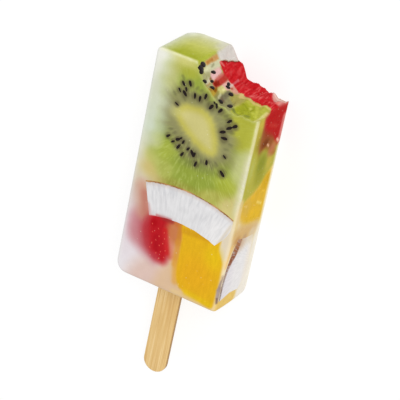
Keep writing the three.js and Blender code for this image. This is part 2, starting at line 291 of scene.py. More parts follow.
def cross_section(y):
    """Points round the block at one place, starting in the middle of the front left corner."""
    right = side_x(y, 1) - inset_at(y, "right")
    left = side_x(y, -1) + inset_at(y, "left")
    front = front_z(y) - inset_at(y, "front")
    back = inset_at(y, "back")
    fore, behind_right, behind_left = FRONT_EDGE_RADIUS, BACK_EDGE_RADII["right"], BACK_EDGE_RADII["left"]
    corners = [
        (left + fore, front - fore, fore, 180),
        (right - fore, front - fore, fore, 90),
        (right - behind_right, back + behind_right, behind_right, 0),
        (left + behind_left, back + behind_left, behind_left, -90),
    ]
    arcs = []
    for x, z, radius, start in corners:
        angles = np.radians(start - 90 * np.arange(CORNER_STEPS + 1) / CORNER_STEPS)
        arcs.append(np.column_stack([x + radius * np.cos(angles), z + radius * np.sin(angles)]))
    rows = []
    for i, steps in enumerate((WIDE_STEPS, DEEP_STEPS, WIDE_STEPS, DEEP_STEPS)):
        start, end = arcs[i][-1], arcs[(i + 1) % 4][0]
        share = np.arange(1, steps)[:, None] / steps
        rows += [arcs[i], start + (end - start) * share]
    ring = np.roll(np.concatenate(rows), -CORNER_STEPS // 2, axis=0)
    return np.column_stack([ring[:, 0], y - crown_at(y, ring[:, 1]), ring[:, 1]])


def end_patch(ring):
    """A grid inside a closed ring, as rows of points: a Coons patch between its four stretches."""
    wide, deep = WIDE_STEPS + CORNER_STEPS, DEEP_STEPS + CORNER_STEPS
    closed = np.concatenate([ring, ring[:1]])
    front = closed[: wide + 1]
    right = closed[wide : wide + deep + 1]
    back = closed[wide + deep : 2 * wide + deep + 1][::-1]
    left = closed[2 * wide + deep :][::-1]
    u = np.linspace(0, 1, wide + 1)[None, :, None]
    v = np.linspace(0, 1, deep + 1)[:, None, None]
    between = (1 - v) * front[None] + v * back[None] + (1 - u) * left[:, None] + u * right[:, None]
    corners = (1 - u) * (1 - v) * front[0] + u * (1 - v) * front[-1]
    corners = corners + (1 - u) * v * back[0] + u * v * back[-1]
    return between - corners


def make_block():
    """Rings along the block and a patch over each end, with the points that they share joined."""
    ends = [0, 0.08, 0.2, 0.4, 0.65, 1.0, 1.4, 1.9, 2.5, 3.2, 4.0]
    middle = np.arange(BASE_Y + 4.5, TIP_Y - 4.2, 0.5)
    stations = [BASE_Y + d for d in ends] + list(middle) + [TIP_Y - d for d in ends[::-1]]
    rings = np.array([cross_section(y) for y in stations])
    around = np.concatenate([rings, rings[:, :1]], axis=1)
    points, faces = [], []
    for sheet in (around, end_patch(rings[0])[::-1], end_patch(rings[-1])):
        rows, columns = sheet.shape[:2]
        for row in range(rows - 1):
            start = len(points) + row * columns
            faces += [(a, a + 1, a + columns + 1, a + columns) for a in range(start, start + columns - 1)]
        points += list(sheet.reshape(-1, 3))
    places, index = np.unique(np.round(points, 6), axis=0, return_inverse=True)
    return mesh_object("block", places, index.ravel()[np.array(faces)])


# ---------------------------------------------------------------- the bite

BITE_POINTS = [
    (-10, 75), (-7.4, 70.4), (-4.5, 65.9), (-1.2, 61.6), (2.6, 58.2), (7.9, 55.6), (14, 55.1),
    (24, 55.7), (30, 57),
]
BITE_LEFT = -7.4
BITE_LEAN = 1.1
BITE_STEP = 0.28
BITE_KNOTS = np.array(BITE_POINTS, float)
BITE_SPANS = [span(*BITE_KNOTS[i : i + 4], 20) for i in range(len(BITE_KNOTS) - 3)]
BITE_CURVE = np.concatenate([*BITE_SPANS, BITE_KNOTS[-2:-1]])


def bite_line(x):
    return np.interp(x, BITE_CURVE[:, 0], BITE_CURVE[:, 1])


def smoothstep(value, low, high):
    t = np.clip((value - low) / (high - low), 0, 1)
    return t * t * (3 - 2 * t)


def fade(value, low, high):
    """1 up to the low value, falling to 0 at the high one."""
    return 1 - smoothstep(value, low, high)


BERRY_TOP = ((-3.6, -1.5, 2.0, 3.2, 4.4, 7.0, 8.0, 10.0, 14.0, 20.6, 22.4),
             (13.0, 13.6, 12.4, 11.8, 12.8, 13.3, 12.1, 13.2, 14.0, 14.3, 19.6))


def berry_top(x):
    """The height of the back strawberry's front face, where it meets the kiwi."""
    return np.interp(x, BERRY_TOP[0], BERRY_TOP[1])


def bite_y(x, z):
    steep = smoothstep(12 - x, 0, 10)
    lean = BITE_LEAN * (1 - z / BASE_DEPTH)
    teeth = 0.55 * np.sin(z / 3.6 - 1.9) * (1 - 0.6 * steep)
    ridges = 0.3 * np.sin(x / 1.1 + z / 4.3) + 0.16 * np.sin(x / 0.55 - z / 2.1)
    return bite_line(x) + lean + teeth + ridges


# where the torn strawberry rises or sinks at the back: place across, half-width and height
BACK_SCALLOPS = [
    (0.2, 1.9, 1.2), (3.6, 1.3, -1.4), (10.0, 2.6, 0.7), (17.2, 2.4, -1.1), (21.6, 2.6, -1.4),
]


def torn(x, z):
    """Relief of the bitten faces: lumps and fibres in the strawberry, crushed crystals in the kiwi."""
    fibre = noise.noise(Vector((x * 1.5, z * 0.4, 3.0)))
    fibre += 0.4 * noise.noise(Vector((x * 3.2, z * 1.1, 7.0)))
    lump = noise.noise(Vector((x * 0.36, z * 0.36, 11.0)))
    crystal = noise.noise(Vector((x * 0.8, z * 0.8, 5.0)))
    crystal += 0.5 * noise.noise(Vector((x * 2.2, z * 2.2, 9.0)))
    red = 1 / (1 + math.exp(-(float(berry_top(x)) - z) / 0.5))
    scallops = 0
    for place, width, height in BACK_SCALLOPS:
        scallops += height * math.exp(-(((x - place) / width) ** 2))
    relief = red * (0.26 * fibre + 0.4 * lump) + (1 - red) * 0.2 * crystal
    return relief + scallops * math.exp(-max(z, 0) / 5)


def make_bite():
    xs = np.linspace(BITE_LEFT, RIGHT, int((RIGHT - BITE_LEFT) / BITE_STEP) + 1)
    zs = np.linspace(-OVERSHOOT, FRONT, int((FRONT + OVERSHOOT) / BITE_STEP) + 1)
    roof = [(RIGHT, TIP_Y + 8), (BITE_LEFT, TIP_Y + 8)]
    layers = []
    for z in zs:
        bitten = [(x, float(bite_y(x, z)) + torn(x, z)) for x in xs]
        layers.append((np.array(bitten + roof), z))
    return stacked("bite", layers)


# ---------------------------------------------------------------- fruit shapes, before they are trimmed


def make_stick_shape(grow=0.0):
    radius = STICK_WIDTH / 2 + grow
    reach = (STICK_LENGTH - STICK_WIDTH) / 2
    half = STICK_THICKNESS / 2 + grow
    turn = np.linspace(0, math.pi, 25)
    side = np.linspace(reach, -reach, 60)[1:-1]
    head = np.column_stack([radius * np.cos(turn), reach + radius * np.sin(turn)])
    left = np.column_stack([np.full(len(side), -radius), side])
    outline = np.concatenate([head, left, -head, -left])
    outline += (STICK_CENTRE_X, BASE_Y - STICK_SHOWN + STICK_LENGTH / 2)
    return slab("stick", outline, STICK_CENTRE_Z - half, STICK_CENTRE_Z + half, STICK_EDGE, 4)


def make_coconut_front():
    def arc(radius, start, end, steps=40):
        angles = np.radians(np.linspace(start, end, steps))
        return np.array(COCONUT_CENTRE) + radius * np.column_stack([np.sin(angles), np.cos(angles)])

    left, right = -17.6, 21.7
    outline = np.concatenate([
        arc(COCONUT_OUTER, left, right),
        [(21.0, 13.0), (20.7, 10.6), (19.9, 8.6), (19.0, 6.8)],
        arc(COCONUT_INNER, right, left),
    ])
    wobble = noisy(0.5 * outline[:, 0], 0.5 * outline[:, 1], 2.0)
    return prism("coconut_front", outline + 0.25 * wobble[:, None], BASE_DEPTH - COCONUT_THICKNESS, FRONT)


def make_coconut_side():
    angles = np.radians(np.linspace(102.7, 52, 30))
    cy, cz = WEDGE_CENTRE
    rind = np.column_stack([cy + WEDGE_RADIUS * np.cos(angles), cz + WEDGE_RADIUS * np.sin(angles)])
    flesh = [(3.2, 14), (2, 6.6), (-12, 5.3), (-17.5, 6.2), (-20.6, 10.2), (-19.1, 17.5), (-19.4, 25)]
    return prism("coconut_side", np.concatenate([rind, flesh]), BODY_WIDTH / 2 - 4.5, RIGHT, "yzx")


def make_mango_front():
    face = rounded([(1.4, 8), (4.6, -20.2), (19.9, -23.1), (19.7, -1), (15.8, 5.6)], 2.6)
    foot = rounded([(-24.4, 11), (-14, 11), (-14, 26.8), (-22.8, 26.8)], 1.2)
    chunk = prism("chunk", face, 9, FRONT)
    return used_up("mango_front", chunk, prism("toe", foot, 14, RIGHT, "yzx"), "UNION")


def make_mango_side():
    side = rounded([(29.6, -OVERSHOOT), (24, 13), (22, 23.4), (12, 23.4), (7.4, -OVERSHOOT)], 3.2)
    back = smooth([(26, 3), (26, 30), (15, 28.5), (10.6, 21), (10.4, 12), (14.5, 6.4)])
    across = prism("across", side, 0, RIGHT, "yzx")
    return used_up("mango_side", prism("thick", back, -OVERSHOOT, 23.4), across, "INTERSECT")


def make_strawberry_front():
    crown, tip = Vector((-12.6, 9, 22.6)), Vector((-2.4, -15.4, 25))
    radius, widest = 6.6, 0.34

    def bulge(height):
        off = (height - widest) / (widest if height < widest else 1 - widest)
        return radius * math.sqrt(max(1 - off**2, 0))

    axis = tip - crown
    turn = Vector((0, 0, 1)).rotation_difference(axis).to_matrix().to_4x4()
    place = Matrix.Translation(crown) @ turn @ Matrix.Diagonal((1, 1, axis.length, 1))
    points, faces = turned(40, 64, bulge)
    return mesh_object("strawberry_front", moved(points, place), faces)


def make_strawberry_back():
    face = smooth([
        (-4.6, 61.5), (-4.2, 54), (-0.5, 45.5), (5.5, 38.5), (13, 35.2), (24, 36), (26, 50), (25, 65),
        (10, 67), (-2, 65.4),
    ])
    lean = np.interp(face[:, 1], [35, 65], [0.45, 0.2])
    ends = [(np.column_stack([face[:, 0], face[:, 1] + lean * (z - 4)]), z) for z in (-OVERSHOOT, FRONT)]
    outline = rounded([
        (-3, -1.2), (3, -3.2), (13.2, -3.6), (12.6, 8), (14.2, 19), (19.6, 22.4), (19.6, 24),
        (3.2, 24), (-3, 11),
    ], 0.7)
    layer = prism("layer", outline, 25, TIP_Y + 9, "zxy")
    return used_up("strawberry_back", stacked("thick", ends), layer, "INTERSECT")


def make_mango_sliver():
    """A long thin ellipsoid, leaning a little towards the front."""
    half = Vector((1.1, 1.4, 5.4))
    lean = Matrix.Translation((-5.4, 67.2, 16.4)) @ Matrix.Rotation(math.radians(-6), 4, "X")
    place = lean @ Matrix.Translation((0, 0, -half.z)) @ Matrix.Diagonal((half.x, half.y, 2 * half.z, 1))
    points, faces = turned(24, 40, lambda height: 2 * math.sqrt(height * (1 - height)))
    return mesh_object("mango_sliver", moved(points, place), faces)


def make_kiwi():
    face = smooth([
        (-15.5, 21.5), (-8, 15), (4, 13), (14, 14.5), (19.5, 19), (25, 25.5), (27, 44), (27, 62),
        (24, 76), (4, 80), (-14, 76), (-18.6, 60), (-18.9, 44), (-18, 30),
    ], 14)
    side = rounded([(20, 1.2), (44, 1.2), (44, 17), (20, 17)], 1.5)
    disc = slab("disc", face, KIWI_UNDERSIDE, BASE_DEPTH, KIWI_ROUNDING, 8)
    return used_up("kiwi", disc, prism("lobe", side, 7, RIGHT, "yzx"), "UNION")


# ---------------------------------------------------------------- cutting the pieces

FRUIT_MAKERS = {
    "coconut_front": make_coconut_front,
    "coconut_side": make_coconut_side,
    "strawberry_front": make_strawberry_front,
    "mango_front": make_mango_front,
    "mango_side": make_mango_side,
    "strawberry_back": make_strawberry_back,
    "mango_sliver": make_mango_sliver,
    "kiwi": make_kiwi,
}


def cut_pieces():
    """The fruit pieces and the ice, cut from the bitten block one after another."""
    bitten = used_up("bitten", make_block(), make_bite(), "DIFFERENCE")
    left = used_up("left", bitten, make_stick_shape(STICK_GAP), "DIFFERENCE")
    pieces = {}
    for name, make in FRUIT_MAKERS.items():
        shape = make()
        pieces[name] = combine(name, left, shape, "INTERSECT")
        left = used_up("left", left, shape, "DIFFERENCE")
    left.name = left.data.name = "ice_body"
    pieces["ice_body"] = left
    return pieces


pieces = cut_pieces()

# ---------------------------------------------------------------- painting
# colours are as seen on a screen, 0 to 255


def lay(colours, tint, weight):
    """Colours moved towards a tint by a weight for each point."""
    return colours + np.clip(weight, 0, 1)[:, None] * (np.array(tint, float) - colours)


def ramp(value, stops):
    """Colours between a few stops (place, colour) along one value."""
    places = [place for place, _ in stops]
    return np.stack([np.interp(value, places, [tint[k] for _, tint in stops]) for k in range(3)], axis=1)


def from_outline(a, b, outline):
    """Signed distance from a closed outline, negative inside."""
    nearest = np.full(len(a), np.inf)
    inside = np.zeros(len(a), bool)
    for start, end in zip(outline, np.roll(outline, -1, axis=0)):
        nearest = np.minimum(nearest, from_line(a, b, start, end))
        if start[1] != end[1]:
            crossing = start[0] + (b - start[1]) * (end[0] - start[0]) / (end[1] - start[1])
            inside ^= ((start[1] > b) != (end[1] > b)) & (a < crossing)
    return np.where(inside, -nearest, nearest)


def area(a, b, outline, feather):
    """1 inside a smooth outline through the points, falling to 0 across the feather on either side."""
    return fade(from_outline(a, b, smooth(outline, 4)), -feather, feather)


def spot(a, b, centre, radii):
    """1 in the middle of an ellipse, 0 well outside it."""
    return fade(np.hypot((a - centre[0]) / radii[0], (b - centre[1]) / radii[1]), 0.3, 1.5)


def from_line(a, b, start, end):
    """Distance from a straight line between two points."""
    da, db = end[0] - start[0], end[1] - start[1]
    share = np.clip(((a - start[0]) * da + (b - start[1]) * db) / (da**2 + db**2), 0, 1)
    return np.hypot(a - start[0] - share * da, b - start[1] - share * db)


def line(a, b, ends, widths):
    """1 along a line, within the first width, fading over the second."""
    return fade(from_line(a, b, *ends), widths[0], widths[0] + widths[1])


def layered(a, b, colours, features):
    """Colours with features laid over them: shape, place, size, tint and strength of each."""
    for shape, where, size, tint, strength in features:
        colours = lay(colours, tint, strength * shape(a, b, where, size))
    return colours


# how far apart the patches of noise for two seeds lie
CLOUD_SHIFT = (17.3, 7.1, 3.7)


def flat(points, tint):
    return np.tile(np.array(tint, float), (len(points), 1))


def cloudy(points, scale, seed):
    """Soft noise between about -1 and 1."""
    return 1.8 * noisy(*(points * scale + seed * np.array(CLOUD_SHIFT)).T)


def tree_of(piece):
    faces = [tuple(polygon.vertices) for polygon in piece.data.polygons]
    return BVHTree.FromPolygons(positions(piece.data).tolist(), faces)


# ---- the front face, in x and y

LEFT_ICE = [
    # milky by the stick, pink by the strawberry, tan by the coconut, honey, green by the kiwi, then frost
    (-22, (234, 229, 232)), (0, (222, 206, 212)), (12, (211, 193, 182)), (22, (215, 206, 168)),
    (38, (207, 216, 194)), (54, (209, 213, 187)), (66, (236, 236, 224)),
]
FRONT_ICE = [
    # milky ice above the stick, warmer towards the mango
    (area, [(-16, -26), (6, -26), (6, -13), (-4, -13), (-12, -14)], 4, (221, 192, 180), 0.95),
    (area, [(-4, -26), (22, -26), (22, -10), (8, 6), (1, 6), (-0.5, -8)], 3, (221, 188, 152), 0.9),
    (line, ((4, -22.4), (20, -23)), (0.6, 1.6), (228, 198, 140), 0.7),
    # honey-coloured ice left of the kiwi's lower edge
    (spot, (-15, 22.6), (4.2, 4), (205, 186, 114), 0.85),
    (spot, (-15.8, 27.4), (3.2, 3), (194, 192, 104), 0.75),
    # clear ice right of the mango and of the coconut, and a painted highlight along the right edge beside
    # the mango
    (area, [(17, -3), (24, -3), (24, 18), (17, 13)], 1.4, (226, 212, 186), 1.0),
    (line, ((21.6, -2), (21.3, -23)), (0.5, 1.0), (240, 214, 160), 0.9),
    # strawberry juice in the ice, and a red-brown seam along the coconut's left end
    (area, [(-18.6, 3), (-14, 5), (-8, -9), (-6, -14), (-9, -13.2), (-14, -10.8), (-18, -8),
     (-19.4, -3)], 3.0, (198, 128, 134), 0.95),
    (area, [(-14.4, 3.6), (-11, 5), (-7, -6), (-5.4, -12.6), (-9, -11.4), (-12.4, -8.6), (-14.6, -3)],
     2.4, (188, 78, 85), 1.0),
    (line, ((-16.8, 14), (-14.8, 4)), (0.2, 5.0), (204, 152, 130), 0.8),
    (line, ((-15.2, 11.6), (-13.4, 4.4)), (0.1, 3.4), (190, 116, 100), 0.7),
    # strawberry, with a salmon rim on its right and a brown shoulder
    (line, ((-2.2, 1.5), (-0.2, -8.5)), (0.7, 2.0), (215, 134, 102), 0.9),
    (area, [(-9, 7), (-8, 3), (-5, 0), (0.4, -3.4), (1.8, -3.4), (2.6, 0), (2.6, 7)],
     1.7, (200, 122, 76), 0.95),
    (spot, (0.2, 5.2), (2.2, 1.4), (198, 110, 54), 0.7),
    (area, [(-11.0, 5.6), (-12.1, 1.5), (-12.4, -2), (-11.3, -5.5), (-9.5, -8.8), (-7.2, -11.4),
     (-4.6, -13), (-2.6, -13.1), (-1.2, -11.4), (-1.1, -8.6), (-2.0, -5.4), (-2.9, -2.6), (-3.7, 0.2),
     (-3.9, 2.6), (-2.6, 8), (-8, 8)], 2.1, (187, 30, 38), 1.0),
    (line, ((-12.6, 2), (-10.2, -8)), (0.1, 2.4), (184, 62, 70), 0.5),
    (line, ((-4.4, 0.6), (-1.9, -8)), (0.3, 1.4), (203, 32, 34), 0.7),
    (spot, (-9.4, 1.8), (1.6, 1.8), (172, 14, 24), 0.6),
    (line, ((-7.4, -3.4), (-6.4, -8.4)), (0.3, 1.5), (168, 20, 32), 0.5),
    (spot, (-6.4, -11), (2.2, 1.6), (190, 62, 74), 0.5),
    # painted shade along the coconut's lower edge
    (line, ((-6.4, 5.2), (-2.4, 5.2)), (0.3, 1.3), (158, 54, 50), 0.75),
    # mango, with painted orange shade down its left side beside the strawberry and along its top below the
    # coconut
    (line, ((1.7, 5), (2.0, -2)), (0.4, 1.6), (204, 132, 50), 0.85),
    (line, ((2.0, -2), (2.4, -11)), (0.5, 1.8), (214, 146, 60), 0.85),
    (line, ((2.6, -11), (3.6, -18)), (0.3, 1.8), (222, 166, 90), 0.8),
    (area, [(2.7, 8), (2.9, 0), (3.1, -8), (3.5, -14), (4.8, -18.2), (7.2, -20.3), (13, -21.3),
     (19.8, -22.4), (20.9, -18), (20.9, -5), (20.1, -1.6), (18.2, 1.9), (16.8, 8)],
     0.6, (228, 178, 33), 1.0),
    (spot, (16.6, -2.5), (3.8, 5.5), (232, 195, 28), 0.7),
    (spot, (11, -12), (8, 8), (231, 171, 34), 0.75),
    (line, ((9, -20.4), (19.2, -21.3)), (0.4, 1.6), (231, 192, 30), 0.7),
    (line, ((3.4, 3.6), (14, 4.6)), (0.5, 1.5), (211, 156, 32), 0.8),
    # the coconut wedge's rind under the right edge
    (line, ((22.4, -3), (22.1, -10)), (0.05, 0.4), (140, 104, 88), 0.7),
    (line, ((21.9, -10), (21.4, -14)), (0.2, 0.6), (152, 134, 134), 0.8),
    (line, ((21.4, -14), (21.6, -17.4)), (0.25, 0.6), (164, 148, 150), 0.85),
    (line, ((21.6, -17.6), (21.9, -19.6)), (0.15, 0.5), (108, 80, 68), 0.85),
]
KIWI_LEFT = [
    (14, -13), (20, -13.4), (26, -15), (31, -16), (36, -16), (40, -14.9), (48, -14.2), (52, -15.4),
    (56, -16.2), (63, -16.2), (70, -15.4),
]
KIWI_FRONT = [
    # paler towards the tip and down the right side
    (area, [(-15, 60), (-15, 74), (-2, 74), (-3, 65), (-7, 62.5), (-11, 62)], 2.2, (184, 186, 90), 1.0),
    (spot, (-11, 67.5), (5.5, 2.4), (208, 205, 124), 0.9),
    (spot, (-7.5, 63.2), (3.4, 2), (168, 173, 58), 0.7),
    (area, [(12, 47), (12, 62), (24, 62), (24, 42), (16, 42)], 2.4, (176, 177, 64), 1.0),
    (spot, (15, 56.8), (4, 1.8), (160, 161, 66), 0.7),
    (area, [(16.6, 29), (15.5, 35), (16.6, 41), (24, 43), (24, 22), (19, 22)],
     2.2, (193, 197, 132), 0.95),
    (spot, (17.6, 27), (2.4, 2.4), (182, 186, 84), 0.7),
    # olive above the coconut, honey-coloured at both ends of it
    (area, [(-12, 22.4), (-6, 21.8), (4, 21.2), (8, 21), (11, 18), (10, 12), (-16, 12)],
     1.9, (156, 152, 66), 0.85),
    (area, [(7, 22), (12, 24.4), (17, 26), (20, 20), (14, 15), (6, 17)], 1.8, (182, 178, 88), 0.85),
    (area, [(15.4, 21.6), (18, 23.4), (24, 27), (24, 12), (14, 17)], 2.0, (214, 200, 132), 0.95),
    (area, [(-19, 14), (-9, 18.4), (-12, 23.6), (-18, 25)], 2.2, (202, 182, 112), 0.9),
    (area, [(-15.6, 29), (-9, 28), (-6.4, 24.6), (-8.6, 20.4), (-13.4, 21.4), (-16, 25)],
     2.2, (180, 186, 94), 0.9),
    # fresh green at the lower left and lower right, greyer at the left
    (spot, (-11.6, 31.4), (5, 4), (171, 182, 76), 0.9),
    (spot, (15, 27.4), (4.4, 4), (174, 183, 66), 0.8),
    (spot, (-13.6, 46), (2.6, 11), (172, 182, 138), 0.85),
    (spot, (-15, 34), (2.6, 3.4), (186, 194, 120), 0.8),
    (spot, (-14.6, 59), (3.8, 6), (194, 195, 130), 0.85),
    (spot, (-11, 41), (3, 4), (152, 158, 112), 0.6),
]
CORE_OUTLINE = smooth([
    (-10.4, 47.4), (-9, 49.6), (-6.4, 51.4), (-2, 52.2), (1.6, 51.6), (4.6, 49.4), (6.8, 45.8),
    (8.4, 41.4), (8.9, 38.2), (7.8, 36.5), (4.6, 36.5), (1, 37.8), (-3.4, 40.4), (-7.6, 43.6),
], 4)
# darker flesh round the ring of seeds
RING_MARKS = [
    (spot, (2.5, 33), (7, 2.6), (128, 128, 84), 0.6),
    (spot, (2, 30.2), (8, 2), (130, 140, 72), 0.7),
    (spot, (9.2, 54), (2.6, 2), (134, 132, 80), 0.7),
]
RING_LONG, RING_SHORT = 14.4, 9.9
# seeds that show faintly through the flesh: place and the way each points in degrees
FAINT_SEEDS = [
    (-11.8, 54.0, -40), (-7.6, 53.3, -50), (-1.7, 58.7, 25), (-3.6, 58.9, 60), (-9.8, 61.0, -45),
    (13.2, 47.7, 20), (13.4, 43.1, -12), (12.2, 40.8, 10), (9.6, 33.8, -50), (8.4, 32.3, -60),
    (3.7, 32.6, 80), (-8.8, 39.3, 50), (-10.4, 40.2, 20), (-2.6, 37.3, 65), (1.9, 55.4, 70),
    (9.4, 53.0, 30),
]


def ring_place(x, y):
    """How far out (1 on the ring of seeds) and at what angle a place is round the kiwi's core."""
    dx, dy = x - KIWI_CORE[0], y - KIWI_CORE[1]
    along_ring = dx * math.cos(KIWI_TILT) + dy * math.sin(KIWI_TILT)
    across_ring = -dx * math.sin(KIWI_TILT) + dy * math.cos(KIWI_TILT)
    long, short = along_ring / RING_LONG, across_ring / RING_SHORT
    return np.hypot(long, short), np.arctan2(short, long)


def kiwi_share(x, y):
    """1 where the kiwi lies at the front face, fading to 0 under the ice on its left."""
    edge = np.interp(y, [place for place, _ in KIWI_LEFT], [x for _, x in KIWI_LEFT])
    wander = 0.4 * np.sin(y / 2.3 + 1) + 0.3 * np.sin(y / 0.9)
    return smoothstep(x - edge + wander, -4.1, 4.1) * smoothstep(y, 12, 16)


def kiwi_face(points):
    x, y, z = points.T
    out, angle = ring_place(x, y)
    rays = noisy(9 * np.cos(angle), 9 * np.sin(angle), out)
    core = from_outline(x, y, CORE_OUTLINE)
    colours = layered(x, y, flat(points, (150, 165, 66)), KIWI_FRONT)
    colours = lay(colours, (143, 140, 96), 0.95 * fade(out + 0.16 * rays, 0.93, 1.45))
    colours = layered(x, y, colours, RING_MARKS)
    colours = lay(colours, (168, 164, 100), 0.8 * fade(core + 0.8 * rays, 0.2, 2.4))
    colours = lay(colours, (196, 188, 92), fade(core + 0.6 * rays, -1.1, 1.2))
    colours = lay(colours, (205, 197, 130), 0.95 * fade(core, -3.8, -0.5))
    colours = lay(colours, (186, 183, 118), 0.6 * spot(x, y, (-10.4, 47.5), (2.4, 2.4)))
    for sx, sy, degrees in FAINT_SEEDS:
        reach = 0.45 * np.array([math.cos(math.radians(degrees)), math.sin(math.radians(degrees))])
        ends = (sx, sy) - reach, (sx, sy) + reach
        colours = lay(colours, (98, 96, 66), 0.42 * line(x, y, ends, (0.1, 0.85)))
    around = [2 * np.hypot(x - sx, y - sy) / length for sx, sy, _, length, _ in FRONT_SEEDS]
    nearest = np.min(around, axis=0)
    colours = lay(colours, (92, 84, 62), 0.6 * fade(nearest, 0.7, 1.9))
    return colours + 4 * cloudy(points, 0.22, 2)[:, None]


def front_face(points):
    x, y, z = points.T
    colours = layered(x, y, ramp(y, LEFT_ICE), FRONT_ICE)
    kiwi = kiwi_share(x, y)
    near = kiwi > 0
    colours[near] += kiwi[near, None] * (kiwi_face(points[near]) - colours[near])
    haze = smoothstep(x, 18.8, 21) * smoothstep(y, 14, 20) * fade(y, 37, 45)
    return lay(colours, (215, 211, 170), 0.8 * haze)


# ---- the right face, in y and z

# ice down the right side; its pale ends at the back and front edges are partly painted highlight
SIDE_ICE = [(1, (240, 231, 208)), (12, (222, 200, 150)), (20, (221, 192, 132)), (28, (238, 227, 198))]
SIDE = [
    # kiwi, olive in the middle, mustard near the bite, with pale ice and a painted highlight over its front
    # edge
    (area, [(62, 26), (62, -2), (32, -2), (29.4, 4), (26.6, 7), (24, 11), (22.4, 16), (21.4, 22),
     (21.4, 26)], 1.4, (180, 174, 66), 1.0),
    (spot, (49, 22.6), (7, 2.6), (180, 161, 54), 0.85),
    (spot, (54, 22.8), (3.5, 2.2), (203, 180, 68), 0.8),
    (spot, (44.5, 21.4), (3, 2.4), (154, 132, 40), 0.75),
    (spot, (40, 18.5), (3, 2.2), (156, 146, 46), 0.8),
    (spot, (34.5, 14.8), (5, 4.4), (140, 144, 40), 0.95),
    (spot, (28.8, 14), (3.6, 4.6), (154, 152, 44), 0.75),
    (spot, (34, 23), (5, 2.0), (184, 184, 92), 0.8),
    (spot, (33, 7.2), (3.2, 2.6), (194, 176, 68), 0.85),
    (line, ((21, 27.2), (57, 26.9)), (0.5, 1.7), (230, 228, 200), 0.9),
    (line, ((43, 27.0), (56, 26.6)), (0.5, 1.6), (224, 212, 150), 0.7),
    # strawberry, brown where it runs into the kiwi, pale at the back edge, where the pale is partly painted
    # highlight
    (area, [(62, 19.8), (52, 20.2), (46.5, 18.6), (44.6, 15), (43.2, 10), (40.8, 6.5), (40, 1),
     (62, 1)], 1.6, (184, 31, 30), 1.0),
    (area, [(50, 20.3), (47.6, 16), (44.8, 10.5), (41.8, 8), (38.4, 8.4), (40.6, 14.5), (41, 20)],
     1.8, (148, 78, 40), 0.9),
    (spot, (43.2, 15.6), (1.8, 3.0), (118, 56, 22), 0.85),
    (spot, (38.3, 7.6), (2.8, 3.6), (188, 112, 78), 0.9),
    (spot, (36.2, 5.4), (1.4, 2.2), (174, 108, 58), 0.7),
    (line, ((50.5, 15), (47.6, 8)), (0.2, 1.0), (198, 66, 52), 0.5),
    (spot, (54, 13), (3, 5), (181, 20, 22), 0.6),
    (line, ((50, 2.4), (41, 2.4)), (0.5, 2.0), (222, 142, 136), 0.85),
    (line, ((53, 0.6), (34, 0.6)), (0.4, 1.2), (242, 208, 188), 0.8),
    # mango
    (area, [(29.6, -2), (28.4, 5), (25.8, 9), (23.8, 13), (22.4, 18), (20.6, 24), (15.5, 24),
     (11.6, 19.5), (9.6, 15), (8.6, 10), (7.2, 5), (7.2, -2)], 1.9, (221, 177, 46), 1.0),
    (spot, (12.4, 10), (3.4, 6), (229, 184, 34), 0.8),
    (spot, (24.6, 6), (3.6, 3.8), (212, 168, 22), 0.95),
    (spot, (18, 20), (4, 4), (214, 176, 74), 0.8),
    (line, ((22, 25.2), (8, 25.4)), (0.4, 2.2), (226, 198, 136), 0.85),
    (line, ((28, 2.4), (6, 2.4)), (0.3, 1.8), (238, 212, 130), 0.7),
    # peach ice between the mango and the coconut, brown towards the rind
    (area, [(10, 25.6), (9.4, 16), (8.2, 10), (6.6, 5), (3, 6), (0.6, 10), (1.5, 17), (4, 22),
     (1, 25.6)], 2.2, (212, 174, 114), 0.9),
    (spot, (5, 21.6), (1.8, 2.6), (192, 142, 84), 0.8),
    (spot, (3.4, 15.4), (2.0, 2.4), (188, 152, 116), 0.8),
    (spot, (3.6, 8.5), (2.4, 3.4), (220, 200, 166), 0.85),
    (line, ((3.4, 25.4), (-4, 27.2)), (0.3, 1.4), (238, 194, 118), 0.85),
    # honey below the coconut, cream ice behind it
    (area, [(-19.2, 28), (-18.9, 19), (-19.8, 13.4), (-22, 11), (-28, 11), (-28, 28)],
     0.8, (229, 193, 106), 1.0),
    (area, [(-16, 7), (-19.5, 9.5), (-22, 11), (-28, 11), (-28, -2), (2, -2), (0, 5), (-10, 5.6)],
     2.0, (240, 233, 220), 0.95),
    (line, ((-8, 27.4), (-13, 27.9)), (0.2, 0.6), (134, 108, 98), 0.7),
    (line, ((-13, 27.6), (-19.2, 27.8)), (0.3, 0.8), (140, 116, 108), 0.75),
    # painted highlight along the back edge, and small painted glints
    (line, ((38, 1.0), (-21, 1.0)), (0.5, 2.6), (246, 240, 222), 0.85),
    (line, ((42.0, 13.2), (40.8, 11.6)), (0.2, 0.4), (244, 196, 160), 0.8),
    (line, ((41.6, 5.0), (40.2, 3.2)), (0.2, 0.5), (252, 216, 192), 0.85),
    (line, ((17.2, 10.4), (15.0, 6.0)), (0.2, 0.6), (243, 218, 124), 0.7),
    (line, ((20.8, 7.6), (20.2, 5.8)), (0.2, 0.4), (250, 208, 76), 0.6),
    (line, ((19.4, 21.6), (18.6, 19.6)), (0.15, 0.4), (238, 206, 124), 0.6),
]


def right_face(points):
    x, y, z = points.T
    return layered(y, z, ramp(z, SIDE_ICE), SIDE)


# ---- the tip, in x and z

TIP_ICE = [
    # frost at the back edge, deeper green towards the front, and a pale front edge that is painted
    # highlight
    (1, (230, 230, 214)), (6, (205, 205, 150)), (14, (194, 196, 98)), (25, (161, 169, 42)),
    (27.4, (206, 206, 130)),
]


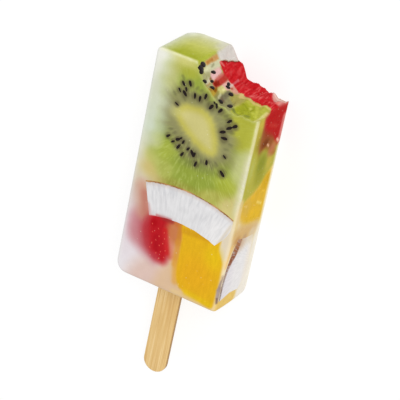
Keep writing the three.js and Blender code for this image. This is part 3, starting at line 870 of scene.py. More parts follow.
def tip_face(points):
    x, y, z = points.T
    colours = lay(ramp(z, TIP_ICE), (199, 203, 156), 0.95 * smoothstep(-x, 14, 21))
    colours = lay(colours, (236, 237, 230), 0.9 * smoothstep(-x, 15.5, 21) * fade(z, 3, 12))
    colours = lay(colours, (214, 218, 196), 0.8 * smoothstep(-x, 18.5, 22))
    colours = lay(colours, (214, 210, 198), 0.8 * smoothstep(x, -10, -6) * fade(z, 6, 13))
    return colours + 4 * (cloudy(points, 0.3, 3) + cloudy(points * (1.6, 1, 0.5), 1, 14))[:, None]


# ---- the bite, in x and z

BITE = [
    # green kiwi on the right: clear pulp between paler veins, with two bruises
    (area, [(9.6, 26), (8.8, 21), (9, 15), (12, 14.6), (20.4, 15), (21.4, 26.5), (14, 28)],
     1.2, (176, 177, 66), 1.0),
    (area, [(10.3, 24), (10.3, 20.6), (11, 18.2), (12.8, 17.4), (15.4, 18), (18, 22), (18.4, 26),
     (13.5, 26.4)], 0.8, (162, 168, 44), 0.95),
    (spot, (12.4, 20.6), (1.8, 2.6), (150, 156, 38), 0.8),
    (line, ((11.2, 18.2), (14, 19.8)), (0.1, 0.5), (142, 148, 34), 0.8),
    (line, ((14.6, 16.6), (15.8, 19.2)), (0.15, 0.6), (160, 166, 42), 0.8),
    (line, ((9.8, 24), (9.9, 18.5)), (0.2, 0.7), (186, 188, 98), 0.7),
    (line, ((14.2, 18.2), (14.9, 18.9)), (0.25, 0.7), (204, 204, 102), 0.7),
    (line, ((16.2, 16.6), (18.6, 22.6)), (0.15, 0.7), (188, 191, 74), 0.7),
    (line, ((16.2, 21.4), (18.8, 23.4)), (0.3, 0.9), (192, 196, 78), 0.6),
    (line, ((10.2, 24.2), (11.2, 25.2)), (0.25, 0.7), (108, 117, 50), 0.85),
    (spot, (12.4, 25.4), (1.4, 0.8), (146, 152, 74), 0.7),
    (spot, (16.3, 25.2), (1.4, 1.1), (130, 138, 56), 0.85),
    (line, ((20.2, 27.4), (20.9, 18)), (0.3, 0.9), (220, 216, 144), 0.85),
    # khaki pulp, grey-green seed belt, and a cream skin below them
    (area, [(6, 21), (5.8, 15), (8, 14.4), (10.6, 15.4), (9.8, 22)], 0.9, (166, 157, 84), 1.0),
    (area, [(3.7, 28), (3.6, 19), (5, 17.4), (6.4, 19.5), (9.2, 21.5), (9.6, 28)],
     0.9, (141, 138, 96), 0.95),
    (line, ((4.7, 17.6), (4.9, 22.6)), (0.35, 0.9), (112, 104, 82), 0.75),
    (spot, (5.0, 23.2), (1.0, 0.9), (112, 88, 72), 0.7),
    (line, ((3.6, 22.4), (4.0, 24.6)), (0.1, 0.5), (206, 200, 160), 0.7),
    (spot, (7, 27), (3.4, 0.9), (158, 160, 120), 0.7),
    (line, ((7.9, 12.8), (8.4, 15)), (0.3, 1.0), (216, 190, 126), 0.8),
    (line, ((9.4, 14.2), (13.4, 14.9)), (0.1, 1.0), (210, 186, 118), 0.75),
    (line, ((14, 15.1), (21, 15.2)), (0.1, 0.9), (216, 192, 120), 0.75),
    # the steep wall: an amber streak, pale strips, pink and red crushed strawberry
    (area, [(-7.5, 28), (-7.5, 10), (-5.6, 12), (-5.4, 20), (-5.4, 28)], 0.4, (174, 184, 62), 0.95),
    (area, [(-4.2, 22.5), (-4.3, 13), (-3, 11.5), (-2.2, 14), (-2.4, 18), (-3, 24)],
     0.4, (202, 202, 168), 0.95),
    (line, ((-3.7, 16.6), (-3.5, 18.8)), (0.05, 0.35), (128, 126, 88), 0.6),
    (line, ((-3.4, 20), (-3.8, 25)), (0.12, 0.4), (214, 213, 168), 0.8),
    (line, ((-4.7, 12.4), (-4.75, 21)), (0.35, 0.45), (199, 152, 92), 1.0),
    (line, ((-4.8, 16.4), (-4.75, 20.6)), (0.15, 0.4), (176, 118, 50), 0.8),
    (area, [(-2.8, 28), (-2.8, 21.4), (-1.2, 21), (0.9, 22), (1.2, 28)], 0.5, (168, 165, 118), 1.0),
    (line, ((-1.5, 22.6), (-1.2, 25.2)), (0.35, 0.5), (206, 200, 168), 0.9),
    (line, ((-0.8, 23.5), (-0.5, 27.6)), (0.12, 0.4), (170, 132, 78), 0.7),
    (line, ((-1.7, 20.6), (-1.5, 22.4)), (0.15, 0.4), (140, 78, 50), 0.7),
    (area, [(-2.6, 20.6), (-2.4, 15.5), (-1.8, 14.2), (-0.9, 14.8), (-0.6, 20.2), (-1.4, 21.2)],
     0.5, (226, 180, 178), 1.0),
    (area, [(0.2, 27.5), (0.4, 25), (1.2, 21), (2.2, 21), (2.8, 25), (2.6, 27.5)],
     0.5, (160, 116, 40), 0.9),
    (line, ((1.5, 21.2), (1.6, 24)), (0.2, 0.5), (134, 82, 14), 0.9),
    (line, ((2.0, 24.6), (2.2, 26.8)), (0.3, 0.6), (184, 152, 52), 0.9),
    (area, [(1.4, 21), (1.5, 17.6), (2.4, 16.6), (3.5, 17.4), (3.7, 21.6), (2.6, 22.6)],
     0.5, (202, 196, 124), 1.0),
    (line, ((3.1, 17.4), (3.1, 19.8)), (0.2, 0.4), (228, 220, 156), 0.8),
    (line, ((2.6, 22.4), (3.4, 26)), (0.2, 0.5), (138, 126, 60), 0.6),
    (area, [(1.2, 17.6), (1.2, 13), (3, 11.6), (4, 12.6), (4, 17.2), (2.4, 18)],
     0.5, (226, 178, 168), 0.95),
    (spot, (3.3, 13.4), (0.5, 1.4), (214, 200, 190), 0.8),
    (area, [(3.9, 15.8), (3.8, 12.4), (5.6, 12), (7, 13.4), (6.2, 15.6), (5, 16.6)],
     0.6, (214, 152, 138), 0.9),
    (spot, (4.4, 15.1), (0.5, 0.6), (166, 70, 46), 0.8),
    (area, [(-0.6, 21.2), (-0.6, 12.8), (1.2, 12.8), (1.4, 17), (1.0, 21.4), (0.2, 22.4)],
     0.4, (180, 58, 48), 1.0),
    (line, ((0.2, 18.4), (0.3, 21.2)), (0.35, 0.6), (140, 34, 18), 0.9),
    (line, ((-0.6, 14), (-0.5, 19)), (0.1, 0.4), (208, 118, 112), 0.7),
]
BERRY_BITE = [
    (area, [(12.6, -1.5), (14.2, 1.4), (16, 4), (18.6, 6.6), (20, 9.5), (22.4, 10), (22.4, -1.5)],
     0.9, (220, 164, 154), 0.95),
    (area, [(15, -1.5), (16.6, 1.5), (18.6, 3.2), (21.5, 3.6), (22.4, -1.5)],
     0.8, (208, 170, 152), 0.8),
    (line, ((19.6, 6.6), (20.2, 9.4)), (0.2, 0.9), (236, 120, 108), 0.7),
    (line, ((15, 0.6), (21, 2.4)), (0.3, 0.9), (234, 206, 192), 0.75),
    (line, ((3.0, 7), (3.1, 11.6)), (0.15, 0.5), (206, 108, 116), 0.8),
    (line, ((-3.0, 12.6), (-2.2, 11.0)), (0.15, 0.4), (228, 134, 128), 0.8),
    (spot, (11, 11.4), (1.4, 1.6), (230, 116, 108), 0.7),
    (spot, (15.2, 13.2), (1.6, 0.8), (190, 26, 22), 0.8),
    (line, ((14.2, 1.2), (15.2, 4)), (0.2, 0.8), (196, 18, 26), 0.7),
]


def bite_face(points):
    x, y, z = points.T
    colours = layered(x, z, flat(points, (176, 174, 104)), BITE)
    colours = lay(colours, (172, 179, 82), 0.8 * smoothstep(z, 26, 27.6))
    strands = noisy(x * 1.7 - 0.12 * z, z * 0.16, 2.0)
    fine = noisy(x * 3.6 - 0.3 * z, z * 0.34, 8.0)
    # the pale strands are fibres of the strawberry with a painted highlight on them, stronger towards the
    # right
    pale = smoothstep(strands + 0.6 * fine, 0.0, 0.6) * (0.5 + 0.35 * smoothstep(x, 4, 12))
    berry = lay(flat(points, (198, 32, 38)), (226, 100, 98), pale)
    berry = lay(berry, (182, 16, 24), 0.6 * smoothstep(-strands + 0.4 * fine, 0.1, 0.6))
    berry = layered(x, z, berry, BERRY_BITE)
    left = x - np.interp(z, [1, 4, 8, 12], [-1.3, -2.3, -3.1, -3.4])
    berry = lay(berry, (112, 8, 14), 0.85 * fade(left, 0.15, 0.6) * fade(z, 10, 12))
    red = fade(z - berry_top(x) + 0.35 * fine, -0.45, 0.45) * smoothstep(left, -0.2, 0.15)
    colours += red[:, None] * (berry - colours)
    ice = fade(z, 10.8, 13) * fade(left, -0.3, 0.1)
    colours = lay(colours, (214, 209, 202), ice)
    colours = lay(colours, (206, 206, 158), ice * fade(x, -6, -5.2))
    return colours + 5 * cloudy(points, 0.9, 4)[:, None]


# ---- everything else: the plain colours of the pieces, which stain the ice near them

PLAIN = {
    "ice_body": (228, 222, 222),
    "kiwi": (172, 176, 84),
    "strawberry_front": (187, 31, 38),
    "strawberry_back": (188, 40, 40),
    "mango_front": (228, 178, 52),
    "mango_side": (222, 180, 58),
    "mango_sliver": (202, 142, 82),
}
# how far each piece is seen through the ice, in mm, and the tint it gives
STAINS = {
    "kiwi": (5.5, (206, 212, 150)),
    "strawberry_back": (4.0, (214, 140, 132)),
    "mango_side": (5.5, (226, 194, 122)),
    "mango_front": (7.0, (226, 196, 150)),
    "strawberry_front": (5.0, (212, 160, 164)),
}


def plain(name, points, trees):
    """The sides that lie away from the front, the tip, the right side and the bite."""

    def away_from(piece, reach):
        return np.array([trees[piece].find_nearest(Vector(p), reach)[3] or reach for p in points])

    colours = flat(points, PLAIN[name]) + 5 * cloudy(points, 0.2, 1)[:, None]
    if name == "ice_body":
        for fruit, (reach, tint) in STAINS.items():
            colours = lay(colours, tint, 0.9 * np.exp(-away_from(fruit, 4 * reach) / reach))
        return colours
    _, tint = STAINS.get(name, (0, PLAIN[name]))
    return lay(colours, tint, 0.85 * np.exp(-((away_from("ice_body", 6) / 1.3) ** 1.3)))


FACE_BLEND = 0.4
OTHERS_BEHIND = 0.4
LEAST_SHARE = 0.01
FAR = 99.0


def from_bite(points):
    """How far each point is from the bitten surface."""
    x, y, z = points.T
    away = np.where(x > BITE_LEFT - 0.5, np.abs(y - bite_y(x, z)), FAR)
    for i in np.flatnonzero(away < 2.5):
        away[i] = abs(y[i] - bite_y(x[i], z[i]) - torn(x[i], z[i]))
    slope = bite_line(x + 0.5) - bite_line(x - 0.5)
    return away / np.hypot(1, slope)


def face_distances(points):
    """How far each point is from the front, the right side, the tip, the bite and the other sides."""
    x, y, z = points.T
    base = y - BASE_Y + crown_at(BASE_Y, z)
    others = np.minimum.reduce([x - side_x(y, -1), z, base])
    others = np.maximum(others, 0) + OTHERS_BEHIND
    return [front_z(y) - z, side_x(y, 1) - x, TIP_Y - y, from_bite(points), others]


def surface_colours(name, points, trees):
    """One field of colour for ice and fruit: thin ice lies over every face, so colours run together."""
    away = np.stack(face_distances(points), axis=1)
    away -= away.min(axis=1)[:, None]
    shares = np.exp(-away / FACE_BLEND)
    shares /= shares.sum(axis=1)[:, None]
    colours = np.zeros((len(points), 3))
    faces = [front_face, right_face, tip_face, bite_face, lambda some: plain(name, some, trees)]
    for face, share in zip(faces, shares.T):
        used = share > LEAST_SHARE
        if used.any():
            colours[used] += share[used, None] * face(points[used])
    return colours / np.where(shares > LEAST_SHARE, shares, 0).sum(axis=1)[:, None]


# strawberry juice on the slice's lower edge, and what shows through its thin ends
RED_EDGE = [
    (line, ((-8.8, 5.1), (-3.2, 5.5)), (0.4, 0.6), (178, 56, 60), 0.95),
    (line, ((-12.2, 3.5), (-8.8, 4.6)), (0.2, 0.6), (204, 96, 96), 0.75),
]
SOFT_EDGES = [
    (line, ((-13.5, 8), (-12, 4.6)), (0.1, 1.4), (206, 152, 150), 0.7),
    (line, ((-11, 5.4), (-2, 6.4)), (0.2, 1.2), (214, 206, 206), 0.6),
    (line, ((20.6, 13), (17.4, 4.4)), (0.1, 1.0), (220, 206, 184), 0.7),
]


def coconut_colours(points):
    x, y, z = points.T
    out = np.hypot(x - COCONUT_CENTRE[0], y - COCONUT_CENTRE[1])
    colours = flat(points, (225, 224, 225)) + 3 * cloudy(points, 0.4, 10)[:, None]
    colours = lay(colours, (236, 234, 233), 0.8 * smoothstep(x, 9, 15) * fade(y, 11, 16))
    colours = layered(x, y, colours, RED_EDGE)
    # painted shadow in a band just inside the rind
    shade_by_rind = smoothstep(out, COCONUT_OUTER - 2.4, COCONUT_OUTER - 0.8)
    colours = lay(colours, (206, 192, 184), 0.6 * shade_by_rind)
    return layered(x, y, colours, SOFT_EDGES)


RIND_OUTLINE = [
    (7, 22), (5.4, 16.6), (1.4, 17.6), (-2.4, 19.6), (-4.2, 21.8), (-7, 24.0), (-12, 25.3),
    (-20, 25.9), (-20, 29), (0, 29),
]
RIND_TINTS = [(-19, (122, 97, 86)), (-9, (168, 146, 134)), (-3, (139, 76, 43)), (5, (176, 126, 86))]


def coconut_side_colours(points):
    x, y, z = points.T
    colours = flat(points, (233, 230, 229)) + 3 * cloudy(points, 0.4, 11)[:, None]
    colours = lay(colours, (224, 218, 222), 0.8 * smoothstep(z, 15, 23))
    colours = lay(colours, (240, 230, 216), 0.9 * fade(z, 6, 11))
    colours = lay(colours, (224, 209, 180), 0.85 * smoothstep(y, -3, 2) * fade(z, 9, 17))
    colours = lay(colours, (204, 172, 138), 0.9 * smoothstep(y, -3.5, 2) * smoothstep(z, 10, 17))
    rind = area(y, z, RIND_OUTLINE, 0.6)
    return colours + rind[:, None] * (ramp(y + 2 * cloudy(points, 0.7, 12), RIND_TINTS) - colours)


def frost_and_edge_highlight(points, colours):
    """Thin ice over the block's sharp front edges looks pale, and a highlight is painted along them."""
    x, y, z = points.T
    depth = front_z(y) - z
    ends = [from_bite(points), side_x(y, 1) - x, TIP_Y - y, x - side_x(y, -1)]
    bitten, right, tip, left = (distance**2 + depth**2 for distance in ends)
    uneven = 0.8 + 0.25 * cloudy(points, 0.5, 13)
    upper = smoothstep(y, 16, 30)
    lower = smoothstep(y, -9, -3) * (1 - upper)
    colours = lay(colours, (198, 200, 132), 0.45 * np.exp(-bitten / 0.2))
    # painted highlight along the right, tip and left front edges
    colours = lay(colours, (240, 237, 220), 0.95 * uneven * np.exp(-right / 0.3) * upper)
    colours = lay(colours, (240, 222, 184), 0.8 * uneven * np.exp(-right / 0.5) * lower)
    colours = lay(colours, (240, 238, 208), 0.9 * uneven * np.exp(-tip / 0.55))
    return lay(colours, (242, 243, 240), 0.6 * np.exp(-left / 1.6))


def linear(colours):
    share = np.clip(colours / 255, 0, 1)
    return np.where(share <= 0.04045, share / 12.92, ((share + 0.055) / 1.055) ** 2.4)


def store(piece, name, kind, values):
    attribute = piece.data.attributes.new(name, kind, "POINT")
    key = {"FLOAT_COLOR": "color", "FLOAT_VECTOR": "vector", "FLOAT": "value"}[kind]
    attribute.data.foreach_set(key, np.ascontiguousarray(values, np.float32).ravel())


LIGHT_LEVEL = 1.07


def paint(piece, colours):
    """Stores the colours so that they come out as given in this scene's light."""
    points = positions(piece.data)
    albedo = linear(frost_and_edge_highlight(points, colours)) / LIGHT_LEVEL
    albedo = np.clip(albedo, 0.004, 0.95)
    store(piece, "Tint", "FLOAT_COLOR", np.column_stack([albedo, np.ones(len(albedo))]))


# ---------------------------------------------------------------- seeds

# on the front: place, the way each points in degrees, length and width
FRONT_SEEDS = [
    (-9.1, 58.7, -50, 2.2, 1.05), (-6.6, 59.6, -64, 2.4, 1.2), (-10.1, 55.8, -52, 1.9, 0.8),
    (-7.9, 55.3, -47, 2.6, 1.3), (-7.7, 57.0, -72, 1.8, 0.9), (-10.1, 50.3, -24, 1.9, 0.75),
    (-3.9, 55.8, -82, 2.3, 1.05), (-1.8, 55.5, 88, 2.4, 1.05), (0.2, 57.1, 82, 2.5, 1.15),
    (3.1, 54.1, 58, 2.6, 1.35), (4.1, 56.1, -45, 1.3, 0.7), (5.1, 55.3, -76, 2.2, 1.0),
    (6.8, 54.1, 56, 2.4, 1.25), (11.1, 51.5, 42, 2.4, 1.1), (13.5, 50.4, 38, 2.4, 1.35),
    (11.5, 49.0, 35, 2.7, 1.25), (9.4, 46.7, 26, 2.6, 1.3), (10.5, 44.6, 6, 2.7, 1.25),
    (12.2, 37.9, -38, 1.7, 0.8), (12.7, 31.3, -42, 2.9, 1.4), (5.9, 33.1, -86, 2.1, 1.2),
    (1.8, 30.9, 76, 2.4, 1.05), (-10.9, 37.3, 45, 2.0, 1.0), (-6.9, 37.4, 30, 2.1, 1.3),
    (-5.8, 38.3, 42, 1.3, 0.7), (-4.6, 37.2, 70, 1.9, 0.9), (-8.6, 35.9, 38, 1.8, 0.85),
    (-6.1, 34.8, 60, 2.5, 1.15), (-2.2, 35.4, 56, 1.8, 0.95), (-0.3, 34.5, -52, 2.6, 1.5),
    (0.5, 34.1, 68, 2.2, 1.3), (-4.1, 32.5, 62, 2.2, 1.1),
]
# in the bite: place across the wall, height, length, width and turn in degrees
BITE_SEEDS = [
    (-5.0, 23.6, 3.6, 2.5, 75), (-4.55, 25.6, 3.6, 2.8, 60), (-3.9, 26.0, 2.8, 2.4, 100),
    (-2.3, 19.0, 2.9, 1.5, 70), (-1.9, 26.0, 2.6, 1.6, 60), (-0.9, 22.0, 2.0, 1.3, 76),
    (0.6, 24.1, 2.7, 1.6, 64), (2.3, 14.2, 2.5, 1.7, 100), (3.0, 15.8, 2.3, 1.9, 40),
    (5.6, 17.7, 2.6, 1.9, 72), (5.1, 24.6, 2.6, 2.0, 50), (8.4, 23.4, 3.0, 2.1, 76),
]
SEED_THICKNESS = 0.5
PIP_SIZE, PIP_SUNK = (0.95, 0.6, 0.24), 0.07
# on the front strawberry: the places of its pips
PIPS = [
    (-10, 1.2), (-7.2, 0.2), (-4.5, -0.5), (-9.3, -2), (-6.3, -2.7), (-3.9, -2.8), (-7.3, -4.7),
    (-4.2, -5), (-8.7, -6.4), (-5.5, -6.3), (-2.7, -7.4), (-9.2, -8.5), (-4.5, -8.6), (-6.2, -9.8),
    (-2.7, -10.3), (-4.8, -11.8),
]


def seed_shape(rings, sides, size):
    """A teardrop along X, pointed towards -X."""
    points, faces = turned(
        rings, sides, lambda height: math.sqrt(height * (1 - height)) * (0.72 + 0.36 * height)
    )
    return (points[:, [2, 0, 1]] - (0.5, 0, 0)) * size, faces


def scattered(name, shape, matrices):
    """One mesh of many copies of a shape, each put in place by a matrix."""
    points, faces = shape
    places = np.concatenate([moved(points, matrix) for matrix in matrices])
    starts = range(0, len(places), len(points))
    copies = [tuple(start + i for i in face) for start in starts for face in faces]
    return mesh_object(name, places, copies)


def make_seeds():
    """Every seed half sunk in the kiwi, its point towards the core."""
    shape = seed_shape(9, 14, (1, 1, SEED_THICKNESS))
    places = []
    for x, y, degrees, length, width in FRONT_SEEDS:
        turn = math.radians(degrees)
        outwards = (x - KIWI_CORE[0]) * math.cos(turn) + (y - KIWI_CORE[1]) * math.sin(turn)
        turn += 0 if outwards > 0 else math.pi
        place = Matrix.Translation((x, y, front_z(y))) @ Matrix.Rotation(turn, 4, "Z")
        places.append(place @ Matrix.Diagonal((length, width, 1, 1)))
    for x, z, length, width, degrees in BITE_SEEDS:
        fall = math.atan2(float(bite_y(x + 0.5, z) - bite_y(x - 0.5, z)), 1)
        surface = Matrix.Translation((x, float(bite_y(x, z)) + torn(x, z), z))
        place = surface @ Matrix.Rotation(fall, 4, "Z")
        laid = Matrix.Rotation(math.radians(degrees), 4, "Y") @ Matrix.Rotation(math.pi / 2, 4, "X")
        places.append(place @ laid @ Matrix.Diagonal((length, width, 2.0, 1)))
    return scattered("kiwi_seeds", shape, places)


def make_pips(berry):
    """Small pale pips on the front strawberry, where it meets the front face."""
    shape = seed_shape(6, 10, PIP_SIZE)
    tree = tree_of(berry)
    places = []
    for i, (x, y) in enumerate(PIPS):
        surface, _, _, _ = tree.ray_cast(Vector((x, y, FRONT)), Vector((0, 0, -1)))
        turn = Matrix.Rotation(math.radians(-70 + 30 * math.sin(2.4 * i)), 4, "Z")
        places.append(Matrix.Translation((x, y, surface.z - PIP_SUNK)) @ turn)
    return scattered("strawberry_pips", shape, places)


# ---------------------------------------------------------------- materials


class Nodes:
    """A material's node tree, with short calls for the nodes that are used here."""

    def __init__(self, name):
        self.material = bpy.data.materials.new(name)
        self.material.use_nodes = True
        self.tree = self.material.node_tree
        self.shader = self.tree.nodes["Principled BSDF"]
        # the object's coordinates in millimetres, which the noise scales below are for
        self.place = self.stretched(self.add("ShaderNodeTexCoord").outputs["Object"], (1000, 1000, 1000))

    def put(self, node, key, value):
        if isinstance(value, bpy.types.NodeSocket):
            self.tree.links.new(value, node.inputs[key])
        else:
            node.inputs[key].default_value = value

    def add(self, kind, inputs=(), **settings):
        node = self.tree.nodes.new(kind)
        for key, value in settings.items():
            setattr(node, key, value)
        for key, value in dict(inputs).items():
            self.put(node, key, value)
        return node

    def set(self, **values):
        for key, value in values.items():
            self.put(self.shader, key.replace("_", " "), value)

    def attribute(self, name, output):
        return self.add("ShaderNodeAttribute", attribute_name=name).outputs[output]

    def axis(self, vector, letter):
        return self.add("ShaderNodeSeparateXYZ", {0: vector}).outputs[letter]

    def stretched(self, vector, stretch):
        return self.add("ShaderNodeVectorMath", {0: vector, 1: stretch}, operation="MULTIPLY").outputs[0]

    def noise(self, vector, scale, detail=3.0, roughness=0.5):
        """Noise with one scale, or with one for each axis."""
        if isinstance(scale, tuple):
            vector, scale = self.stretched(vector, scale), 1.0
        inputs = {"Vector": vector, "Scale": scale, "Detail": detail, "Roughness": roughness}
        return self.add("ShaderNodeTexNoise", inputs).outputs["Fac"]

    def between(self, value, low, high, to_low=0.0, to_high=1.0):
        inputs = {"Value": value, "From Min": low, "From Max": high, "To Min": to_low, "To Max": to_high}
        return self.add("ShaderNodeMapRange", inputs).outputs["Result"]

    def maths(self, operation, first, second=0.0):
        return self.add("ShaderNodeMath", {0: first, 1: second}, operation=operation).outputs[0]

    def mix(self, share, first, second, blend="MIX"):
        inputs = {0: share, 6: first, 7: second}
        return self.add("ShaderNodeMix", inputs, data_type="RGBA", blend_type=blend).outputs[2]

    def shade(self, noise, low, high, colour):
        """The colour made darker or lighter by noise, from low to high."""
        level = self.between(noise, 0.3, 0.7, low, high)
        grey = self.add("ShaderNodeCombineColor", {0: level, 1: level, 2: level}).outputs[0]
        return self.mix(1.0, colour, grey, "MULTIPLY")

    def bump(self, height, distance, strength, before=None):
        inputs = {"Height": height, "Distance": distance * METRES, "Strength": strength}
        if before is not None:
            inputs["Normal"] = before
        return self.add("ShaderNodeBump", inputs).outputs["Normal"]


def rgb(red, green, blue):
    return (*linear(np.array((red, green, blue), float)), 1.0)


def wet_surface(nodes, colour, normal, roughness, shine=0.014):
    """Thin wet ice lies over everything, with a few specks of frost and soft reflections."""
    cells = nodes.add("ShaderNodeTexVoronoi", {"Vector": nodes.place, "Scale": 0.5})
    some = nodes.between(nodes.axis(cells.outputs["Color"], "X"), 0.4, 0.8)
    specks = nodes.between(cells.outputs["Distance"], 0.13, 0.05, 0.0, 0.32)
    specks = nodes.maths("MULTIPLY", specks, some)
    colour = nodes.mix(specks, colour, rgb(248, 244, 220))
    nodes.set(Base_Color=colour, Normal=normal, Roughness=roughness, IOR=1.31, Specular_IOR_Level=shine)
    return nodes.material


def melt_waves(nodes):
    """The block's faces aren't quite flat: they have begun to melt."""
    return nodes.bump(nodes.noise(nodes.place, 0.16, 2.0), 0.35, 0.3)


def ice_material():
    nodes = Nodes("milky_ice")
    tint = nodes.attribute("Tint", "Color")
    colour = nodes.shade(nodes.noise(nodes.place, 0.35, 4.0), 0.975, 1.02, tint)
    colour = nodes.shade(nodes.noise(nodes.place, 2.6, 2.0), 0.985, 1.012, colour)
    frost = nodes.bump(nodes.noise(nodes.place, 2.2, 2.0), 0.04, 0.4, melt_waves(nodes))
    roughness = nodes.between(nodes.noise(nodes.place, 0.5), 0.3, 0.7, 0.24, 0.4)
    return wet_surface(nodes, colour, frost, roughness)


def kiwi_material():
    """Detail is how clearly the rays show: not in the core, nor where ice covers the slice."""
    nodes = Nodes("kiwi_flesh")
    grain = nodes.attribute("Grain", "Vector")
    clear = nodes.attribute("Detail", "Fac")
    tint = nodes.attribute("Tint", "Color")
    rays = nodes.noise(grain, (34, 34, 4.0), 2.0, 0.45)
    shaded = nodes.shade(nodes.noise(grain, (9, 9, 1.6), 2.0), 0.96, 1.03, tint)
    shaded = nodes.shade(rays, 0.93, 1.045, shaded)
    shaded = nodes.mix(nodes.between(rays, 0.5, 0.7, 0.0, 0.42), shaded, rgb(180, 190, 106))
    colour = nodes.mix(clear, tint, shaded)
    colour = nodes.shade(nodes.noise(nodes.place, 1.6, 3.0), 0.97, 1.025, colour)
    ridges = nodes.bump(nodes.maths("MULTIPLY", rays, clear), 0.03, 0.3, melt_waves(nodes))
    return wet_surface(nodes, colour, ridges, nodes.between(rays, 0.3, 0.7, 0.36, 0.26))


def berry_material(name):
    nodes = Nodes(name)
    fibre = nodes.noise(nodes.place, (1.6, 0.5, 0.6), 4.0, 0.6)
    colour = nodes.shade(fibre, 0.93, 1.06, nodes.attribute("Tint", "Color"))
    wet = nodes.bump(nodes.noise(nodes.place, 1.3, 3.0), 0.08, 0.4, melt_waves(nodes))
    return wet_surface(nodes, colour, wet, nodes.between(fibre, 0.3, 0.7, 0.24, 0.36), 0.005)


def mango_material():
    nodes = Nodes("mango_flesh")
    fibre = nodes.noise(nodes.place, (0.9, 0.25, 0.4), 4.0, 0.55)
    colour = nodes.shade(fibre, 0.935, 1.055, nodes.attribute("Tint", "Color"))
    colour = nodes.shade(nodes.noise(nodes.place, 2.4, 2.0), 0.95, 1.04, colour)
    return wet_surface(nodes, colour, melt_waves(nodes), nodes.between(fibre, 0.3, 0.7, 0.26, 0.36))


def coconut_material(name, rind_from):
    """Grain holds the way round the coconut and the distance from its centre, both in mm."""
    nodes = Nodes(name)
    grain = nodes.attribute("Grain", "Vector")
    out = nodes.axis(grain, "Y")
    strands = nodes.noise(grain, (1.2, 0.16, 0.5))
    colour = nodes.shade(strands, 0.94, 1.045, nodes.attribute("Tint", "Color"))
    outer = nodes.between(out, rind_from - 9, rind_from - 3, 0.25, 1.0)
    dark = nodes.maths("MULTIPLY", nodes.between(strands, 0.5, 0.36, 0.0, 0.46), outer)
    colour = nodes.mix(dark, colour, rgb(196, 196, 200))
    colour = nodes.shade(nodes.noise(grain, (3.2, 0.4, 1.2), 2.0), 0.965, 1.025, colour)
    ragged = nodes.maths("ADD", out, nodes.between(nodes.noise(nodes.place, 1.1), 0.0, 1.0, -0.4, 0.4))
    patches = nodes.between(nodes.noise(nodes.place, 0.3, 2.0), 0.35, 0.65)
    rind = nodes.mix(patches, rgb(142, 98, 50), rgb(192, 148, 94))
    colour = nodes.mix(nodes.between(ragged, rind_from, rind_from + 0.35), colour, rind)
    nodes.set(Base_Color=colour, Normal=nodes.bump(strands, 0.06, 0.4))
    nodes.set(Roughness=0.5, IOR=1.31, Specular_IOR_Level=0.035)
    return nodes.material


def grain_material(name, dark, light, scale, roughness, ior, shine):
    """Seeds and pips: two shades that run into each other."""
    nodes = Nodes(name)
    colour = nodes.mix(nodes.noise(nodes.place, scale), dark, light)
    nodes.set(Base_Color=colour, Roughness=roughness, IOR=ior, Specular_IOR_Level=shine)
    return nodes.material


def wood_material():
    nodes = Nodes("stick_wood")
    broad = nodes.noise(nodes.place, (0.8, 0.02, 0.5), 2.0)
    grain = nodes.noise(nodes.place, (2.6, 0.04, 1.4), 3.0, 0.55)
    fine = nodes.noise(nodes.place, (7.0, 0.14, 3.0), 2.0)
    pores = nodes.noise(nodes.place, (5.0, 0.4, 3.0), 1.0)
    side = nodes.maths("ABSOLUTE", nodes.axis(nodes.add("ShaderNodeNewGeometry").outputs["Normal"], "Z"))
    # painted shade on the stick just below where it goes into the ice
    shade_by_ice = nodes.between(nodes.axis(nodes.place, "Y"), BASE_Y - 5.5, BASE_Y - 0.5, 0.0, 0.42)
    colour = nodes.mix(nodes.between(broad, 0.38, 0.62), rgb(219, 181, 116), rgb(226, 191, 129))
    colour = nodes.mix(nodes.between(grain, 0.52, 0.66, 0.0, 0.8), colour, rgb(240, 210, 156))
    colour = nodes.mix(nodes.between(grain, 0.46, 0.34, 0.0, 0.6), colour, rgb(204, 160, 98))
    colour = nodes.shade(fine, 0.97, 1.02, colour)
    colour = nodes.mix(nodes.between(pores, 0.7, 0.78, 0.0, 0.4), colour, rgb(184, 138, 84))
    colour = nodes.mix(nodes.between(side, 0.75, 0.3, 0.0, 0.75), colour, rgb(146, 104, 52))
    colour = nodes.mix(shade_by_ice, colour, rgb(158, 122, 74))
    nodes.set(Base_Color=colour, Normal=nodes.bump(fine, 0.05, 0.5))
    nodes.set(Roughness=0.6, IOR=1.45, Specular_IOR_Level=0.25)
    return nodes.material


# ---------------------------------------------------------------- putting it together

SHARP = math.radians(32)
GRAIN_RADIUS = 40


def finish_piece(piece, material, node):
    piece.data.transform(Matrix.Scale(METRES, 4))
    piece.data.shade_smooth()
    piece.data.set_sharp_from_angle(angle=SHARP)
    piece.data.materials.clear()
    piece.data.materials.append(material)
    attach(piece, "root")
    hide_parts(node)


def polar_grain(piece, centre, axes, across):
    """Stores the arc length at a fixed radius, the radius, and the depth, in mm."""
    points = positions(piece.data)
    a, b = points[:, axes[0]] - centre[0], points[:, axes[1]] - centre[1]
    arc = np.arctan2(a, b) * GRAIN_RADIUS
    store(piece, "Grain", "FLOAT_VECTOR", np.column_stack([arc, np.hypot(a, b), points[:, across]]))


def kiwi_grain(piece):
    """Stores the direction and distance from the core, so that rays run outwards, and where they show."""
    points = positions(piece.data)
    x, y, z = points.T
    out, angle = ring_place(x, y)
    store(piece, "Grain", "FLOAT_VECTOR", np.column_stack([np.cos(angle), np.sin(angle), out + 0.02 * z]))
    low = 1 - smoothstep(y, 30, 46)
    shown = smoothstep(from_outline(x, y, CORE_OUTLINE), 0.5, 3.5) * (0.3 + 0.7 * low)
    shown *= kiwi_share(x, y) ** 2 * (1 - smoothstep(front_z(y) - z, 0.5, 2.0))
    store(piece, "Detail", "FLOAT", shown)


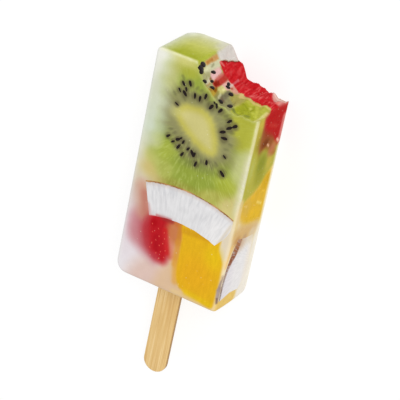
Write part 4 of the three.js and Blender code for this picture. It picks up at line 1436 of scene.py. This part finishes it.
def paint_pieces():
    trees = {name: tree_of(piece) for name, piece in pieces.items()}
    for name, piece in pieces.items():
        points = positions(piece.data)
        if name == "coconut_front":
            paint(piece, coconut_colours(points))
        elif name == "coconut_side":
            paint(piece, coconut_side_colours(points))
        else:
            paint(piece, surface_colours(name, points, trees))
    kiwi_grain(pieces["kiwi"])
    polar_grain(pieces["coconut_front"], COCONUT_CENTRE, (0, 1), 2)
    polar_grain(pieces["coconut_side"], WEDGE_CENTRE, (1, 2), 0)


paint_pieces()

pips = make_pips(pieces["strawberry_front"])
seeds = make_seeds()
stick = make_stick_shape()

mango = mango_material()
FINISHES = [
    ("milky_ice", "ice_body", ice_material(), "milky_ice"),
    ("kiwi_slice", "kiwi", kiwi_material(), "kiwi_flesh"),
    ("strawberry_half", "strawberry_front", berry_material("strawberry_skin"), "strawberry_flesh"),
    ("strawberry_slab", "strawberry_back", berry_material("strawberry_flesh"), "strawberry_flesh"),
    ("mango_chunk", "mango_front", mango, "mango_flesh"),
    ("mango_slab", "mango_side", mango, "mango_flesh"),
    ("mango_strip", "mango_sliver", mango, "mango_flesh"),
    ("coconut_slice", "coconut_front", coconut_material("coconut_slice", RIND_FROM), "coconut_flesh"),
    ("coconut_wedge", "coconut_side", coconut_material("coconut_wedge", WEDGE_RADIUS), "coconut_flesh"),
]
for shown_name, node, material, slot in FINISHES:
    pieces[node].name = pieces[node].data.name = shown_name
    finish_piece(pieces[node], material, node)
seed_black = grain_material("kiwi_seed", rgb(14, 9, 10), rgb(42, 30, 28), 1.5, 0.3, 1.45, 0.12)
pip_pink = grain_material("strawberry_pip", rgb(206, 56, 56), rgb(222, 100, 82), 1.2, 0.45, 1.31, 0.01)
finish_piece(seeds, seed_black, "kiwi")
finish_piece(pips, pip_pink, "strawberry_front")
stick.name = stick.data.name = "lolly_stick"
finish_piece(stick, wood_material(), "stick")

# ---------------------------------------------------------------- floor and light

FLOOR_SIZE = 4.0
FLOOR_GLOW = 0.72
WORLD_LEVEL = 0.78
# name, direction it comes from, distance and width in metres, power in watts
LIGHTS = [
    ("fill", (0.4, 0.5, 0.77), 1.1, 0.5, 4.2),
    ("tip_glint", (-0.34, 0.83, 0.45), 0.9, 0.12, 0.25),
    ("side_glint", (0.83, -0.45, 0.34), 0.9, 0.12, 0.25),
]


def make_floor():
    half = FLOOR_SIZE / 2
    corners = [(-half, -half, 0), (half, -half, 0), (half, half, 0), (-half, half, 0)]
    floor = mesh_object("floor", corners, [(0, 1, 2, 3)])
    nodes = Nodes("floor")
    colour = nodes.mix(nodes.noise(nodes.place, 0.006), (0.29, 0.29, 0.29, 1), (0.31, 0.31, 0.31, 1))
    nodes.set(Base_Color=colour, Roughness=0.9, Specular_IOR_Level=0.05)
    nodes.set(Emission_Color=(1, 1, 1, 1), Emission_Strength=FLOOR_GLOW)
    floor.data.materials.append(nodes.material)


def make_light(name, direction, distance, size, power):
    data = bpy.data.lights.new(name, "AREA")
    data.shape = "SQUARE"
    data.size = size
    data.energy = power
    light = bpy.data.objects.new(name, data)
    towards = Vector(direction).normalized()
    light.location = towards * distance
    light.rotation_mode = "QUATERNION"
    light.rotation_quaternion = (-towards).to_track_quat("-Z", "Y")
    bpy.context.scene.collection.objects.link(light)


def light_scene():
    world = bpy.data.worlds.new("studio")
    world.use_nodes = True
    background = world.node_tree.nodes["Background"]
    background.inputs["Color"].default_value = (1, 1, 1, 1)
    background.inputs["Strength"].default_value = WORLD_LEVEL
    bpy.context.scene.world = world
    for light in LIGHTS:
        make_light(*light)
    bpy.context.scene.view_settings.view_transform = "Standard"
    bpy.context.scene.view_settings.look = "None"


make_floor()
light_scene()
